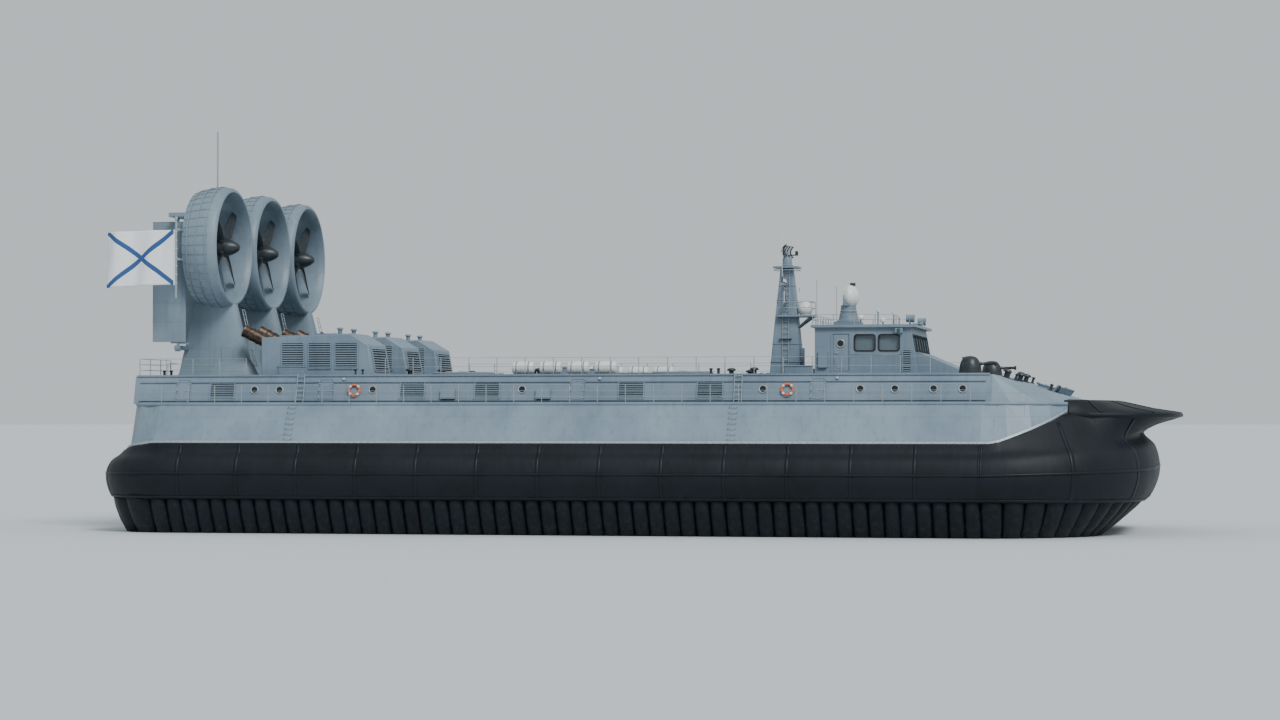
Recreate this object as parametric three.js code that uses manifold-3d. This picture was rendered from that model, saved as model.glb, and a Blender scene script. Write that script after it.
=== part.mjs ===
// Air-cushion landing craft at half size: a rubber skirt round a buoyant raft, a covered vehicle hold
// between two side hulls, bow and stern ramps, a wheelhouse, two gun turrets, four lift fans set in the
// side decks and three ducted propellers with air rudders on pylons above the stern.
// Sizes below are metres of the full-size craft. M turns them into millimetres of this half-size model.
// Stations: "port" is the distance to port of the centreline, "aft" the distance aft of the bow tip,
// "up" the height above the skirt's hem. In the model port is +X, aft is +Y and up is +Z.

import * as THREE from "three";
import { ConvexGeometry } from "three/addons/geometries/ConvexGeometry.js";
import { mergeVertices } from "three/addons/utils/BufferGeometryUtils.js";
import Module from "manifold-3d";

const wasm = await Module();
wasm.setup();

const M = 500; // millimetres of model per metre of the real craft
const SEAT = 0.0006; // 0.3 mm on the model, left between two pieces that rest on each other
const LENGTH = 57.3;
const HEIGHT = 21.9;

// Raft and hull
const RAFT = { halfBeam: 10.0, bow: 3.8, stern: 55.8, bottom: 1.6, deck: 3.3 };
const BOW_CORNER = 6.0; // plan radius of the raft's forward corners
const STERN_CORNER = 2.0;
const HOLD_HALF = 4.6;
const PORTAL_HALF = 3.2; // half width of the bow ramp's opening
const DECK_EDGE = 6.9;
const ROOF = 8.4;
const PLATE = 0.3; // roof plating over the hold
const HOUSE = { fore: 9.4, aft: 55.8, foot: 9.7, top: 9.3 };
const PORTAL_TOP = 6.5;

// Raised tread lane for vehicles in the hold, and the hatch on the roof above it
const LANE = { half: 3.9, fore: 10.5, aft: 54.8, rise: 0.06 };
const HATCH = { half: 1.4, fore: 29.0, aft: 32.2, up: 8.65 };

// Ramps
const BOW_HINGE = { aft: 3.66, up: 3.4 };
const STERN_HINGE = { aft: 55.94, up: 3.4 };
const RAMP = { half: 3.1, start: 0.14, length: 2.95, inner: 0.18, outer: 0.06 };
const STERN_RAMP_HALF = 2.5;
const FLAP = { half: 2.95, length: 1.35, thick: 0.11, lift: 0.012, pivotUp: 3.0, pivotIn: 0.185 };
const FLAP_STRAPS = { ports: [-2.1, 0, 2.1], half: 0.25, radius: 0.04 };
const BARREL = 0.08; // radius of the hinge barrels, and half the size of their lugs

// Propulsion
const DUCT_PORTS = { port: 6.9, centre: 0, starboard: -6.9 };
const DUCT = { up: 15.5, fore: 51.0, aft: 53.0, inner: 2.87, outer: 3.3 };
const PROPELLER = { radius: 2.75, disc: 51.65, rear: 51.95, hub: 0.48 };
const RUDDER = { offset: 1.45, pivot: 53.75, fore: 0.45, chord: 1.9, low: 10.3, high: 16.85, post: 0.07 };
const RUDDER_BEAM = { low: 10.1, high: 17.05, depth: 0.24 }; // facing sides of the beams that hold the posts

// Lift
const FAN = { port: 7.1, aft: [26.0, 38.0], radius: 1.25, floor: 7.1, disc: 7.75 };
const FAN_WELL = { radius: 1.4, rim: 1.62, lip: 0.15 };

// Bridge
const BRIDGE = { fore: 13.7, foreTop: 14.15, aft: 19.3, half: 4.2, top: 11.0, wall: 0.16, floor: 8.62 };
const WINDOW = { low: 9.75, high: 10.6 };
const DOOR = { fore: 17.5, aft: 18.3, low: 8.66, high: 10.62, thick: 0.07 };
const DOOR_GAP = 0.02;
// Sloping casing between the foredeck and the bridge front, as [aft, up]
const GLACIS = [[11.3, ROOF + SEAT], [13.8, ROOF + SEAT], [13.95, 9.68], [13.8, 9.68], [11.3, 8.6]];
const GLACIS_HALF = 3.6;

// Armament
const TURRET = { port: 7.1, aft: 10.7, radius: 0.62, trunnion: 8.98 };
const DIRECTOR = { aft: 18.0, top: 11.95, foot: 11.42 };

const at = (port, aft, up) => new THREE.Vector3(port * M, (aft - LENGTH / 2) * M, up * M);
const mix = (a, b, share) => a + (b - a) * share;
const radians = THREE.MathUtils.degToRad;
const group = new THREE.Group();

const paint = (colour, roughness, metalness) =>
  new THREE.MeshStandardMaterial({ color: colour, roughness, metalness });
const finishes = {
  hullGrey: paint(0x8a979e, 0.55, 0.1),
  deckGrey: paint(0x59636a, 0.8, 0.0),
  rubber: paint(0x14171a, 0.6, 0.0),
  darkMetal: paint(0x2c3135, 0.45, 0.6),
  glass: paint(0x26333c, 0.1, 0.0),
  white: paint(0xdfe3e2, 0.5, 0.0),
  flag: paint(0xe8ecf2, 0.8, 0.0),
};

// A closed body from its triangles, turned so that its faces point out
function closedBody(triangles) {
  const distinct = triangles.filter(
    ([a, b, c]) => a.distanceTo(b) > 1e-3 && b.distanceTo(c) > 1e-3 && c.distanceTo(a) > 1e-3,
  );
  const volume = distinct.reduce((sum, [a, b, c]) => sum + a.dot(b.clone().cross(c)), 0);
  const positions = distinct.flatMap(([a, b, c]) =>
    (volume > 0 ? [a, b, c] : [a, c, b]).flatMap((corner) => corner.toArray()),
  );
  const geometry = new THREE.BufferGeometry();
  geometry.setAttribute("position", new THREE.Float32BufferAttribute(positions, 3));
  return mergeVertices(geometry, 1e-3);
}

// A flat polygon cut into triangles that all turn the way its outline does
function capTriangles(outline) {
  const normal = new THREE.Vector3();
  outline.forEach((corner, i) => normal.add(corner.clone().cross(outline[(i + 1) % outline.length])));
  normal.normalize();
  const across = outline[1].clone().sub(outline[0]).normalize();
  const along = normal.clone().cross(across);
  const flat = outline.map((corner) => new THREE.Vector2(corner.dot(across), corner.dot(along)));
  const triples = THREE.ShapeUtils.triangulateShape(flat, []);
  const triangles = triples.map((triple) => triple.map((i) => outline[i]));
  const facing = ([a, b, c]) => b.clone().sub(a).cross(c.clone().sub(a)).dot(normal);
  const kept = triangles.reduce((sum, triangle) => sum + facing(triangle), 0) > 0;
  return triangles.map(([a, b, c]) => (kept ? [a, b, c] : [a, c, b]));
}

// A skin over closed sections that all have the same number of corners, with both ends closed
function loft(sections) {
  const triangles = [];
  for (let s = 0; s + 1 < sections.length; s++) {
    const [near, far] = [sections[s], sections[s + 1]];
    near.forEach((corner, i) => {
      const next = (i + 1) % near.length;
      triangles.push([corner, near[next], far[next]], [corner, far[next], far[i]]);
    });
  }
  const startCap = capTriangles(sections[0]).map(([a, b, c]) => [a, c, b]);
  return closedBody([...triangles, ...startCap, ...capTriangles(sections.at(-1))]);
}

// A profile in [port, up] carried from one station aft to another
const beam = (profile, fore, aft) =>
  loft([fore, aft].map((station) => profile.map(([port, up]) => at(port, station, up))));

// A profile in [aft, up] carried across from one distance to port to another
const sideways = (profile, from, to) =>
  loft([from, to].map((port) => profile.map(([aft, up]) => at(port, aft, up))));

const block = (port0, port1, aft0, aft1, up0, up1) =>
  beam([[port0, up0], [port1, up0], [port1, up1], [port0, up1]], aft0, aft1);

// A round bar between two stations, given as [port, aft, up]
function bar(from, to, radius, sides = 12, endRadius = radius) {
  const [start, end] = [at(...from), at(...to)];
  const length = start.distanceTo(end);
  const rod = new THREE.CylinderGeometry(endRadius * M, radius * M, length, sides);
  const turn = new THREE.Quaternion().setFromUnitVectors(
    new THREE.Vector3(0, 1, 0),
    end.clone().sub(start).normalize(),
  );
  return rod.applyQuaternion(turn).translate(...start.add(end).multiplyScalar(0.5).toArray());
}

function solidOf(geometry) {
  const bare = geometry.index ? geometry.toNonIndexed() : geometry.clone();
  const points = new THREE.BufferGeometry().setAttribute("position", bare.getAttribute("position"));
  const merged = mergeVertices(points, 1e-3);
  const triVerts = [];
  for (let i = 0; i < merged.index.count; i += 3) {
    const [a, b, c] = [0, 1, 2].map((k) => merged.index.getX(i + k));
    if (a !== b && b !== c && c !== a) triVerts.push(a, b, c);
  }
  return new wasm.Manifold(
    new wasm.Mesh({
      numProp: 3,
      vertProperties: new Float32Array(merged.attributes.position.array),
      triVerts: new Uint32Array(triVerts),
    }),
  );
}

function geometryOf(solid) {
  const mesh = solid.getMesh();
  const geometry = new THREE.BufferGeometry();
  geometry.setAttribute("position", new THREE.Float32BufferAttribute(mesh.vertProperties, 3));
  geometry.setIndex([...mesh.triVerts]);
  return geometry;
}

const fuse = (...pieces) => geometryOf(pieces.map(solidOf).reduce((sum, piece) => sum.add(piece)));
const cut = (piece, ...tools) =>
  geometryOf(tools.reduce((rest, tool) => rest.subtract(solidOf(tool)), solidOf(piece)));

function place(name, geometry, material, parent = group, position = null) {
  const mesh = new THREE.Mesh(geometry, material);
  mesh.name = name;
  if (position) mesh.position.copy(position);
  parent.add(mesh);
  return mesh;
}

// Plan of the raft: the forward corners turn through these angles, from dead ahead to abeam,
// and the after ones from abeam to dead astern
const BOW_TURNS = [90, 80, 70, 60, 50, 40, 30, 20, 10, 0];
const STERN_TURNS = [0, 30, 60, 90];
const bowCentre = [RAFT.halfBeam - BOW_CORNER, RAFT.bow + BOW_CORNER];
const sternCentre = [RAFT.halfBeam - STERN_CORNER, RAFT.stern - STERN_CORNER];

// [port, aft] of a point "out" metres outside the raft's edge, at a turn of the bow or stern corner
const roundBow = (turn, out) => [
  bowCentre[0] + (BOW_CORNER + out) * Math.cos(radians(turn)),
  bowCentre[1] - (BOW_CORNER + out) * Math.sin(radians(turn)),
];
const roundStern = (turn, out) => [
  sternCentre[0] + (STERN_CORNER + out) * Math.cos(radians(turn)),
  sternCentre[1] + (STERN_CORNER + out) * Math.sin(radians(turn)),
];

// Where the skirt leaves the hull: it climbs to the deck edge round the bow's shoulder
const SHOULDER = { from: 5, to: 40 };
const shoulderShare = (turn) =>
  THREE.MathUtils.clamp((turn - SHOULDER.from) / (SHOULDER.to - SHOULDER.from), 0, 1);

// Corners of the hull outside the raft's edge, as [out, up]: foot, knuckle where the skirt is hung, deck edge
const SIDE_HULL = { foot: 0.3, knuckle: [2.0, 4.8], edge: 0.9 };
const BOW_HULL = { foot: 0.3, knuckle: [0.6, PORTAL_TOP], edge: 0.6 };
const STERN_HULL = { foot: 0, knuckle: [0, 4.2], edge: 0 };
const hullCorners = (from, to, share) => [
  [mix(from.foot, to.foot, share), RAFT.deck + SEAT],
  [mix(from.knuckle[0], to.knuckle[0], share), mix(from.knuckle[1], to.knuckle[1], share)],
  [mix(from.edge, to.edge, share), DECK_EDGE],
];

function raft() {
  const corners = [
    ...BOW_TURNS.map((turn) => roundBow(turn, 0)),
    ...STERN_TURNS.map((turn) => roundStern(turn, 0)),
  ];
  const outline = [...corners, ...corners.map(([port, aft]) => [-port, aft]).reverse()];
  const slab = loft([RAFT.bottom, RAFT.deck].map((up) => outline.map(([port, aft]) => at(port, aft, up))));
  const lugs = [];
  for (const [hinge, inward, edge, half] of [
    [BOW_HINGE, 1, RAFT.bow, RAMP.half],
    [STERN_HINGE, -1, RAFT.stern, STERN_RAMP_HALF],
  ])
    for (const port of barrelPorts(half))
      for (const side of [-1, 1]) {
        const middle = port + side * (BARREL_HALF + SEAT + LUG_HALF);
        const [near, far] = [hinge.aft - inward * BARREL, edge + inward * 0.15].sort((a, b) => a - b);
        const [low, high] = [RAFT.deck + 0.02, hinge.up + BARREL];
        lugs.push(block(middle - LUG_HALF, middle + LUG_HALF, near, far, low, high));
        const [rootNear, rootFar] = [edge + inward * 0.02, edge + inward * 0.15].sort((a, b) => a - b);
        lugs.push(block(middle - LUG_HALF, middle + LUG_HALF, rootNear, rootFar, RAFT.deck - 0.1, hinge.up));
      }
  const lane = block(-LANE.half, LANE.half, LANE.fore, LANE.aft, RAFT.deck - 0.1, RAFT.deck + LANE.rise);
  return fuse(slab, lane, ...lugs);
}

const BARREL_HALF = 0.3; // half the length of a hinge barrel
const LUG_HALF = 0.06;
const barrelPorts = (half) => [-half * 0.72, 0, half * 0.72];

function hull(side) {
  const wall = (port, aft, corners, place2d) => [
    at(side * port, aft, RAFT.deck + SEAT),
    ...corners.map(([out, up]) => {
      const [p, a] = place2d(out);
      return at(side * p, a, up);
    }),
    at(side * port, aft, DECK_EDGE),
  ];
  const holdDepth = RAFT.halfBeam - HOLD_HALF; // from the raft's edge in to the hold's wall
  const front = hullCorners(SIDE_HULL, BOW_HULL, 1);
  const sections = [
    wall(PORTAL_HALF, RAFT.bow + holdDepth, front, (out) => [PORTAL_HALF, RAFT.bow - out]),
    ...BOW_TURNS.map((turn) =>
      wall(
        ...roundBow(turn, -holdDepth),
        hullCorners(SIDE_HULL, BOW_HULL, shoulderShare(turn)),
        (out) => roundBow(turn, out),
      ),
    ),
    ...STERN_TURNS.map((turn) =>
      wall(
        HOLD_HALF,
        mix(sternCentre[1], RAFT.stern, Math.sin(radians(turn))),
        hullCorners(SIDE_HULL, STERN_HULL, turn / 90),
        (out) => roundStern(turn, out),
      ),
    ),
  ];
  return loft(sections);
}

// Height of the foredeck's sloping top
const FOREDECK = { fore: 5.25, foreUp: 7.12, foreHalf: 3.6 };
const foredeckTop = (aft) => mix(FOREDECK.foreUp, ROOF, (aft - FOREDECK.fore) / (HOUSE.fore - FOREDECK.fore));

function foredeck() {
  const turns = [[90, -1.4], [70, -1.4], [60, -1.4], [50, -0.9], [30, -0.4], [14, -0.3]];
  const foot = turns.map((row) => roundBow(...row));
  foot.push([HOUSE.foot, HOUSE.fore - SEAT]);
  const top = [
    [FOREDECK.foreHalf, FOREDECK.fore + 0.05],
    [HOUSE.top, HOUSE.fore - SEAT],
  ];
  const points = [-1, 1].flatMap((side) => [
    ...foot.map(([port, aft]) => at(side * port, aft, DECK_EDGE + SEAT)),
    ...top.map(([port, aft]) => at(side * port, aft, foredeckTop(aft))),
  ]);
  const under = (fore, aft) => [
    [fore, DECK_EDGE - 0.1],
    [aft, DECK_EDGE - 0.1],
    [aft, foredeckTop(aft) - PLATE],
    [fore, foredeckTop(fore) - PLATE],
  ];
  const holdFront = RAFT.bow + RAFT.halfBeam - HOLD_HALF;
  return cut(
    new ConvexGeometry(points),
    sideways(under(5.6, holdFront + 0.1), -PORTAL_HALF, PORTAL_HALF),
    sideways(under(holdFront, HOUSE.fore + 0.1), -HOLD_HALF, HOLD_HALF),
  );
}

// The apron that covers the bow from the foredeck to the tip, by the turn round the bow: how far it lies
// in over the deck and how far it reaches out from the raft's edge
const APRON = [
  { turn: 40, inner: 0.3, tip: 0.75 },
  { turn: 50, inner: -0.6, tip: 1.35 },
  { turn: 60, inner: -1.05, tip: 2.2 },
  { turn: 70, inner: -1.25, tip: 3.0 },
  { turn: 80, inner: -1.3, tip: 3.55 },
  { turn: 90, inner: -1.3, tip: 3.8 },
];
const APRON_TIP = 6.2; // height of its outer lip's underside
const APRON_CLEAR = 0.04;
const apronTip = (turn) => APRON.find((row) => row.turn === turn)?.tip ?? 0;

function bowApron() {
  const edge = BOW_HULL.edge + SEAT;
  const section = ({ inner, tip }) => [
    [inner, DECK_EDGE + SEAT],
    [edge, DECK_EDGE + SEAT],
    [edge, PORTAL_TOP],
    [tip, APRON_TIP + CLEAR],
    [tip, APRON_TIP + 0.22],
    [edge, DECK_EDGE + 0.12],
    [inner, DECK_EDGE + 0.16],
  ];
  const skin = (side) => APRON.map((row) => toward(section(row), side, (out) => roundBow(row.turn, out)));
  const cover = loft([...skin(1), ...skin(-1).reverse()]);
  const lintel = block(
    SEAT - PORTAL_HALF,
    PORTAL_HALF - SEAT,
    RAFT.bow - BOW_HULL.edge - 0.2,
    5.1,
    PORTAL_TOP,
    DECK_EDGE + 0.05,
  );
  return fuse(cover, lintel);
}

function deckhouse(side) {
  const profile = [
    [HOLD_HALF, DECK_EDGE + SEAT],
    [HOUSE.foot, DECK_EDGE + SEAT],
    [HOUSE.top, ROOF],
    [HOLD_HALF, ROOF],
  ].map(([port, up]) => [side * port, up]);
  const body = beam(profile, HOUSE.fore, HOUSE.aft);
  const coamings = FAN.aft.map((aft) =>
    bar([side * FAN.port, aft, ROOF - 0.1], [side * FAN.port, aft, ROOF + FAN_WELL.lip], FAN_WELL.rim, 28),
  );
  const mouth = ROOF + FAN_WELL.lip + 0.1;
  const wells = FAN.aft.map((aft) =>
    bar([side * FAN.port, aft, FAN.floor], [side * FAN.port, aft, mouth], FAN_WELL.radius, 28),
  );
  const posts = FAN.aft.map((aft) =>
    bar([side * FAN.port, aft, FAN.floor - 0.1], [side * FAN.port, aft, FAN.disc - 0.2 - SEAT], 0.22, 14),
  );
  return fuse(cut(fuse(body, ...coamings), ...wells), ...posts);
}

function holdRoof() {
  const half = HOLD_HALF - SEAT;
  const plate = block(-half, half, HOUSE.fore, RAFT.stern - 0.5 - SEAT, ROOF - PLATE, ROOF);
  return fuse(plate, block(-HATCH.half, HATCH.half, HATCH.fore, HATCH.aft, ROOF - 0.1, HATCH.up));
}

function sternFrame() {
  const inner = HOLD_HALF - SEAT;
  const frame = block(-inner, inner, RAFT.stern - 0.5, RAFT.stern, RAFT.deck + SEAT, ROOF);
  const hole = STERN_RAMP_HALF + 0.05;
  return cut(frame, block(-hole, hole, RAFT.stern - 0.6, RAFT.stern + 0.1, RAFT.deck - 0.1, 6.55));
}

// Sections of the skirt's bag, as [out, up] from the raft's edge: its outside, then its inside. Its top,
// where it leaves the hull, is worked out apart.
const SKIRT = [
  { corner: "notch under the edge", side: [2.25, 4.35], bow: [1.7, 5.5], stern: [0.55, 4.02] },
  { corner: "shoulder", side: [2.62, 3.95], bow: [2.25, 4.7], stern: [1.1, 3.75] },
  { corner: "bulge, upper", side: [2.8, 3.4], bow: [2.5, 3.8], stern: [1.45, 3.3] },
  { corner: "bulge, lower", side: [2.8, 2.8], bow: [2.48, 3.0], stern: [1.5, 2.8] },
  { corner: "bag, low", side: [2.62, 2.25], bow: [2.2, 2.2], stern: [1.38, 2.25] },
  { corner: "finger root", side: [2.45, 1.9], bow: [1.95, 1.8], stern: [1.2, 1.9] },
  { corner: "underside, inner", side: [0.6, 1.5], bow: [0.35, 1.5], stern: [0.3, 1.5] },
  { corner: "raft's lower edge", side: [SEAT, 1.61], bow: [SEAT, 1.61], stern: [SEAT, 1.61] },
  { corner: "raft's deck edge", side: [SEAT, 3.29], bow: [SEAT, 3.29], stern: [SEAT, 3.29] },
];
const CLEAR = 0.006; // 3 mm on the model, between the bag and the hull that it is laced to

// Sections of the fingers that hang from the bag, in the same way; "drawn" is how far a corner is drawn in at
// the joint between two fingers
const FINGER = [
  { corner: "top, outside", side: [2.46, 2.03], bow: [1.98, 1.94], stern: [1.22, 2.02], drawn: 0.26 },
  { corner: "hem, outside", side: [1.35, 0], bow: [-0.35, 0], stern: [0.55, 0], drawn: 0.26 },
  { corner: "hem, inside", side: [1.15, 0], bow: [-0.55, 0], stern: [0.35, 0], drawn: 0.3 },
  { corner: "top, inside", side: [0.75, 1.7], bow: [0.5, 1.7], stern: [0.45, 1.7], drawn: 0 },
];
const FINGER_SHOULDERS = [0.25, 0.75]; // shares of a finger's width between which it stands full
const FINGERS = { bowCentre: 8, bowCorner: 12, side: 64, sternCentre: 8 };

function skirtSection(end, share, hullShape, apron, rampGap = 0) {
  const bag = SKIRT.map((row) => [0, 1].map((axis) => mix(row.side[axis], row[end][axis], share)));
  const [foot, knuckle] = hullShape;
  const topUp = knuckle[1] - (apron ? APRON_CLEAR : CLEAR);
  const lip = apron ? [apron - 0.03, APRON_TIP] : [knuckle[0] + 0.12 + rampGap, topUp];
  return [
    [knuckle[0] + CLEAR + rampGap, topUp],
    lip,
    ...bag,
    [foot[0] + CLEAR + rampGap, RAFT.deck - 0.01],
  ];
}

const toward = (section, side, place2d) =>
  section.map(([out, up]) => {
    const [port, aft] = place2d(out);
    return at(side * port, aft, up);
  });

const bowSection = (turn) =>
  skirtSection("bow", turn / 90, hullCorners(SIDE_HULL, BOW_HULL, shoulderShare(turn)), apronTip(turn));
const sternSection = (turn, rampGap = 0) =>
  skirtSection("stern", turn / 90, hullCorners(SIDE_HULL, STERN_HULL, turn / 90), 0, rampGap);
const BOW_SEAM = 3.3; // half width of the skirt's centre piece at the bow
const STERN_SEAM = 2.9;

// Distances along the raft's edge from the middle of the bow, where its straights and corners begin
const sideStart = bowCentre[0] + (BOW_CORNER * Math.PI) / 2;
const sideEnd = sideStart + sternCentre[1] - bowCentre[1];
const sternStart = sideEnd + (STERN_CORNER * Math.PI) / 2;
const halfWay = sternStart + sternCentre[0];

// Where a walk of that distance has come to: the outward place there, the end of the craft that it is
// nearer and its share of the turn to that end
function edgeAt(distance) {
  if (distance < bowCentre[0]) return { place2d: (out) => [distance, RAFT.bow - out], end: "bow", share: 1 };
  if (distance < sideStart) {
    const turn = 90 - THREE.MathUtils.radToDeg((distance - bowCentre[0]) / BOW_CORNER);
    return { place2d: (out) => roundBow(turn, out), end: "bow", share: turn / 90 };
  }
  if (distance < sideEnd) {
    const aft = bowCentre[1] + distance - sideStart;
    return { place2d: (out) => [RAFT.halfBeam + out, aft], end: "bow", share: 0 };
  }
  if (distance < sternStart) {
    const turn = THREE.MathUtils.radToDeg((distance - sideEnd) / STERN_CORNER);
    return { place2d: (out) => roundStern(turn, out), end: "stern", share: turn / 90 };
  }
  return { place2d: (out) => [halfWay - distance, RAFT.stern + out], end: "stern", share: 1 };
}

function fingers(from, to, count, side) {
  const width = (to - from) / count;
  const section = (distance, drawIn) => {
    const { place2d, end, share } = edgeAt(distance);
    return FINGER.map((row) => {
      const out = mix(row.side[0], row[end][0], share) - drawIn * row.drawn;
      const [port, aft] = place2d(out);
      return at(side * port, aft, mix(row.side[1], row[end][1], share));
    });
  };
  const sections = Array.from({ length: count }, (_, i) => [
    section(from + i * width, 1),
    ...FINGER_SHOULDERS.map((part) => section(from + (i + part) * width, 0)),
  ]);
  return loft([...sections.flat(), section(to, 1)]);
}

const skirtBowCorner = (side) =>
  fuse(
    loft([
      toward(bowSection(90), side, (out) => [BOW_SEAM + SEAT, RAFT.bow - out]),
      ...BOW_TURNS.map((turn) => toward(bowSection(turn), side, (out) => roundBow(turn, out))),
    ]),
    fingers(BOW_SEAM + SEAT, sideStart, FINGERS.bowCorner, side),
  );
const skirtSide = (side) =>
  fuse(
    loft([
      toward(sternSection(0), side, (out) => [RAFT.halfBeam + out, bowCentre[1] + SEAT]),
      ...STERN_TURNS.map((turn) => toward(sternSection(turn), side, (out) => roundStern(turn, out))),
      toward(sternSection(90), side, (out) => [STERN_SEAM + SEAT, RAFT.stern + out]),
    ]),
    fingers(sideStart + SEAT, halfWay - STERN_SEAM - SEAT, FINGERS.side, side),
  );
const skirtBowCentre = () =>
  fuse(
    loft([1, -1].map((side) => toward(bowSection(90), side, (out) => [BOW_SEAM, RAFT.bow - out]))),
    fingers(-BOW_SEAM, BOW_SEAM, FINGERS.bowCentre, 1),
  );
const skirtSternCentre = () =>
  fuse(
    loft([1, -1].map((side) => toward(sternSection(90, 0.3), side, (out) => [STERN_SEAM, RAFT.stern + out]))),
    fingers(halfWay - STERN_SEAM, halfWay + STERN_SEAM, FINGERS.sternCentre, 1),
  );

// Flexible keels that divide the cushion under the raft
function cushionKeels() {
  const top = RAFT.bottom - SEAT;
  return fuse(block(-0.15, 0.15, 6.5, 54.0, 0.25, top), block(-8.8, 8.8, 33.0, 33.3, 0.25, top));
}

// Ramp panel standing up from its hinge. Its own origin is the hinge line; "inward" is +1 where the hold
// lies aft of it and -1 where the hold lies ahead.
function rampPanel(half, inward, hasFlap) {
  const part = (port0, port1, in0, in1, up0, up1) => {
    const [a0, a1] = [in0 * inward, in1 * inward].sort((a, b) => a - b);
    return localBlock(port0, port1, a0, a1, up0, up1);
  };
  const { inner, outer, start, length } = RAMP;
  const pieces = [part(-half, half, -outer, inner, start, length)];
  for (const port of barrelPorts(half)) {
    const barrel = new THREE.CylinderGeometry(BARREL * M, BARREL * M, 2 * BARREL_HALF * M, 14);
    pieces.push(barrel.rotateZ(Math.PI / 2).translate(port * M, 0, 0));
    pieces.push(part(port - BARREL_HALF, port + BARREL_HALF, -outer, 0.06, 0, start + 0.05));
  }
  for (const share of [-0.8, -0.4, 0, 0.4, 0.8])
    pieces.push(part(share * half - 0.06, share * half + 0.06, -outer - 0.05, 0, start + 0.1, length - 0.1));
  if (hasFlap)
    for (const port of FLAP_STRAPS.ports)
      for (const side of [-1, 1]) {
        const [x0, x1] = [FLAP_STRAPS.half + SEAT, FLAP_STRAPS.half + 0.1].map((x) => port + side * x);
        const [low, high] = [x0, x1].sort((a, b) => a - b);
        const { pivotIn, pivotUp } = FLAP;
        pieces.push(part(low, high, 0.08, pivotIn + FLAP_STRAPS.radius, length - 0.01, pivotUp + 0.03));
      }
  return fuse(...pieces);
}

// A block about the mesh's own origin, in metres
function localBlock(x0, x1, y0, y1, z0, z1) {
  const size = [x1 - x0, y1 - y0, z1 - z0].map((v) => v * M);
  const middle = [x0 + x1, y0 + y1, z0 + z1].map((v) => (v * M) / 2);
  return new THREE.BoxGeometry(...size).translate(...middle);
}

// The extension folded down behind the bow ramp. Its origin is the hinge at the ramp's free edge.
function rampFlap() {
  const near = FLAP.pivotUp - RAMP.length + 0.06;
  const leaf = localBlock(-FLAP.half, FLAP.half, FLAP.lift, FLAP.thick, -near - FLAP.length, -near);
  const { ports, half, radius } = FLAP_STRAPS;
  const knuckle = new THREE.CylinderGeometry(radius * M, radius * M, 2 * half * M, 12).rotateZ(Math.PI / 2);
  const straps = ports.flatMap((port) => [
    localBlock(port - half, port + half, FLAP.lift, radius, -near - 0.1, 0),
    knuckle.clone().translate(port * M, 0, 0),
  ]);
  return fuse(leaf, ...straps);
}

// Outline of a thin blade, as [across, along] with its nose at along = 0
const bladeOutline = (chord, thick) => [
  [0, 0],
  [thick * 0.5, chord * 0.3],
  [thick * 0.08, chord],
  [-thick * 0.08, chord],
  [-thick * 0.5, chord * 0.3],
];

// Wing-like outline of a pylon or rudder, as [across, along] with its nose at along = 0
const wingOutline = (chord, thick) => [
  [0, 0],
  [thick * 0.38, chord * 0.06],
  [thick * 0.5, chord * 0.28],
  [thick * 0.34, chord * 0.65],
  [thick * 0.06, chord],
  [-thick * 0.06, chord],
  [-thick * 0.34, chord * 0.65],
  [-thick * 0.5, chord * 0.28],
  [-thick * 0.38, chord * 0.06],
];

// Half section of the duct's ring, as [radius, aft]
const RING = [
  [DUCT.inner, DUCT.fore + 0.35],
  [DUCT.inner + 0.16, DUCT.fore],
  [DUCT.outer - 0.1, DUCT.fore + 0.08],
  [DUCT.outer, DUCT.fore + 0.4],
  [DUCT.outer - 0.26, DUCT.aft],
  [DUCT.inner + 0.06, DUCT.aft],
];
const RING_SIDES = 36;

const turned = (profile, segments) =>
  new THREE.LatheGeometry(
    profile.map(([radius, aft]) => new THREE.Vector2(radius * M, (aft - LENGTH / 2) * M)),
    segments,
  ).scale(-1, 1, 1);

function duct(port, extras = []) {
  const ring = turned([...RING, RING[0]], RING_SIDES);
  const start = PROPELLER.rear + SEAT;
  const nacelle = turned(
    [[0, start], [0.46, start], [0.5, 52.3], [0.42, 52.8], [0.2, 53.12], [0, 53.2]],
    18,
  );
  const vanes = [90, 18, 162, -54, -126].map((angle) => {
    const outline = bladeOutline(0.8, 0.13);
    const vane = loft(
      [0.3, DUCT.inner + 0.05].map((radius) =>
        outline.map(([across, along]) => at(radius, 52.05 + along, across)),
      ),
    );
    return vane.rotateY(-radians(angle));
  });
  const root = loft(
    [-0.3, -DUCT.inner - 0.05].map((up) =>
      wingOutline(0.95, 0.45).map(([across, along]) => at(across, 52.0 + along, up)),
    ),
  );
  const beamLow = RUDDER_BEAM.high - DUCT.up;
  const beamHigh = beamLow + RUDDER_BEAM.depth;
  const arms = [
    block(-2.6, -2.32, DUCT.aft - 0.15, RUDDER.pivot + 0.15, beamLow, beamHigh),
    block(2.32, 2.6, DUCT.aft - 0.15, RUDDER.pivot + 0.15, beamLow, beamHigh),
    block(-2.5, 2.5, RUDDER.pivot - 0.15, RUDDER.pivot + 0.15, beamLow, beamHigh),
  ];
  const body = fuse(orient(ring), orient(nacelle), ...vanes.map(orient), root, ...arms, ...extras);
  return body.translate(port * M, 0, DUCT.up * M);
}

// Turns a body's faces outwards
function orient(geometry) {
  const loose = geometry.index ? geometry.toNonIndexed() : geometry;
  const position = loose.getAttribute("position");
  const triangles = [];
  for (let i = 0; i < position.count; i += 3)
    triangles.push([0, 1, 2].map((k) => new THREE.Vector3().fromBufferAttribute(position, i + k)));
  return closedBody(triangles);
}

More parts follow.
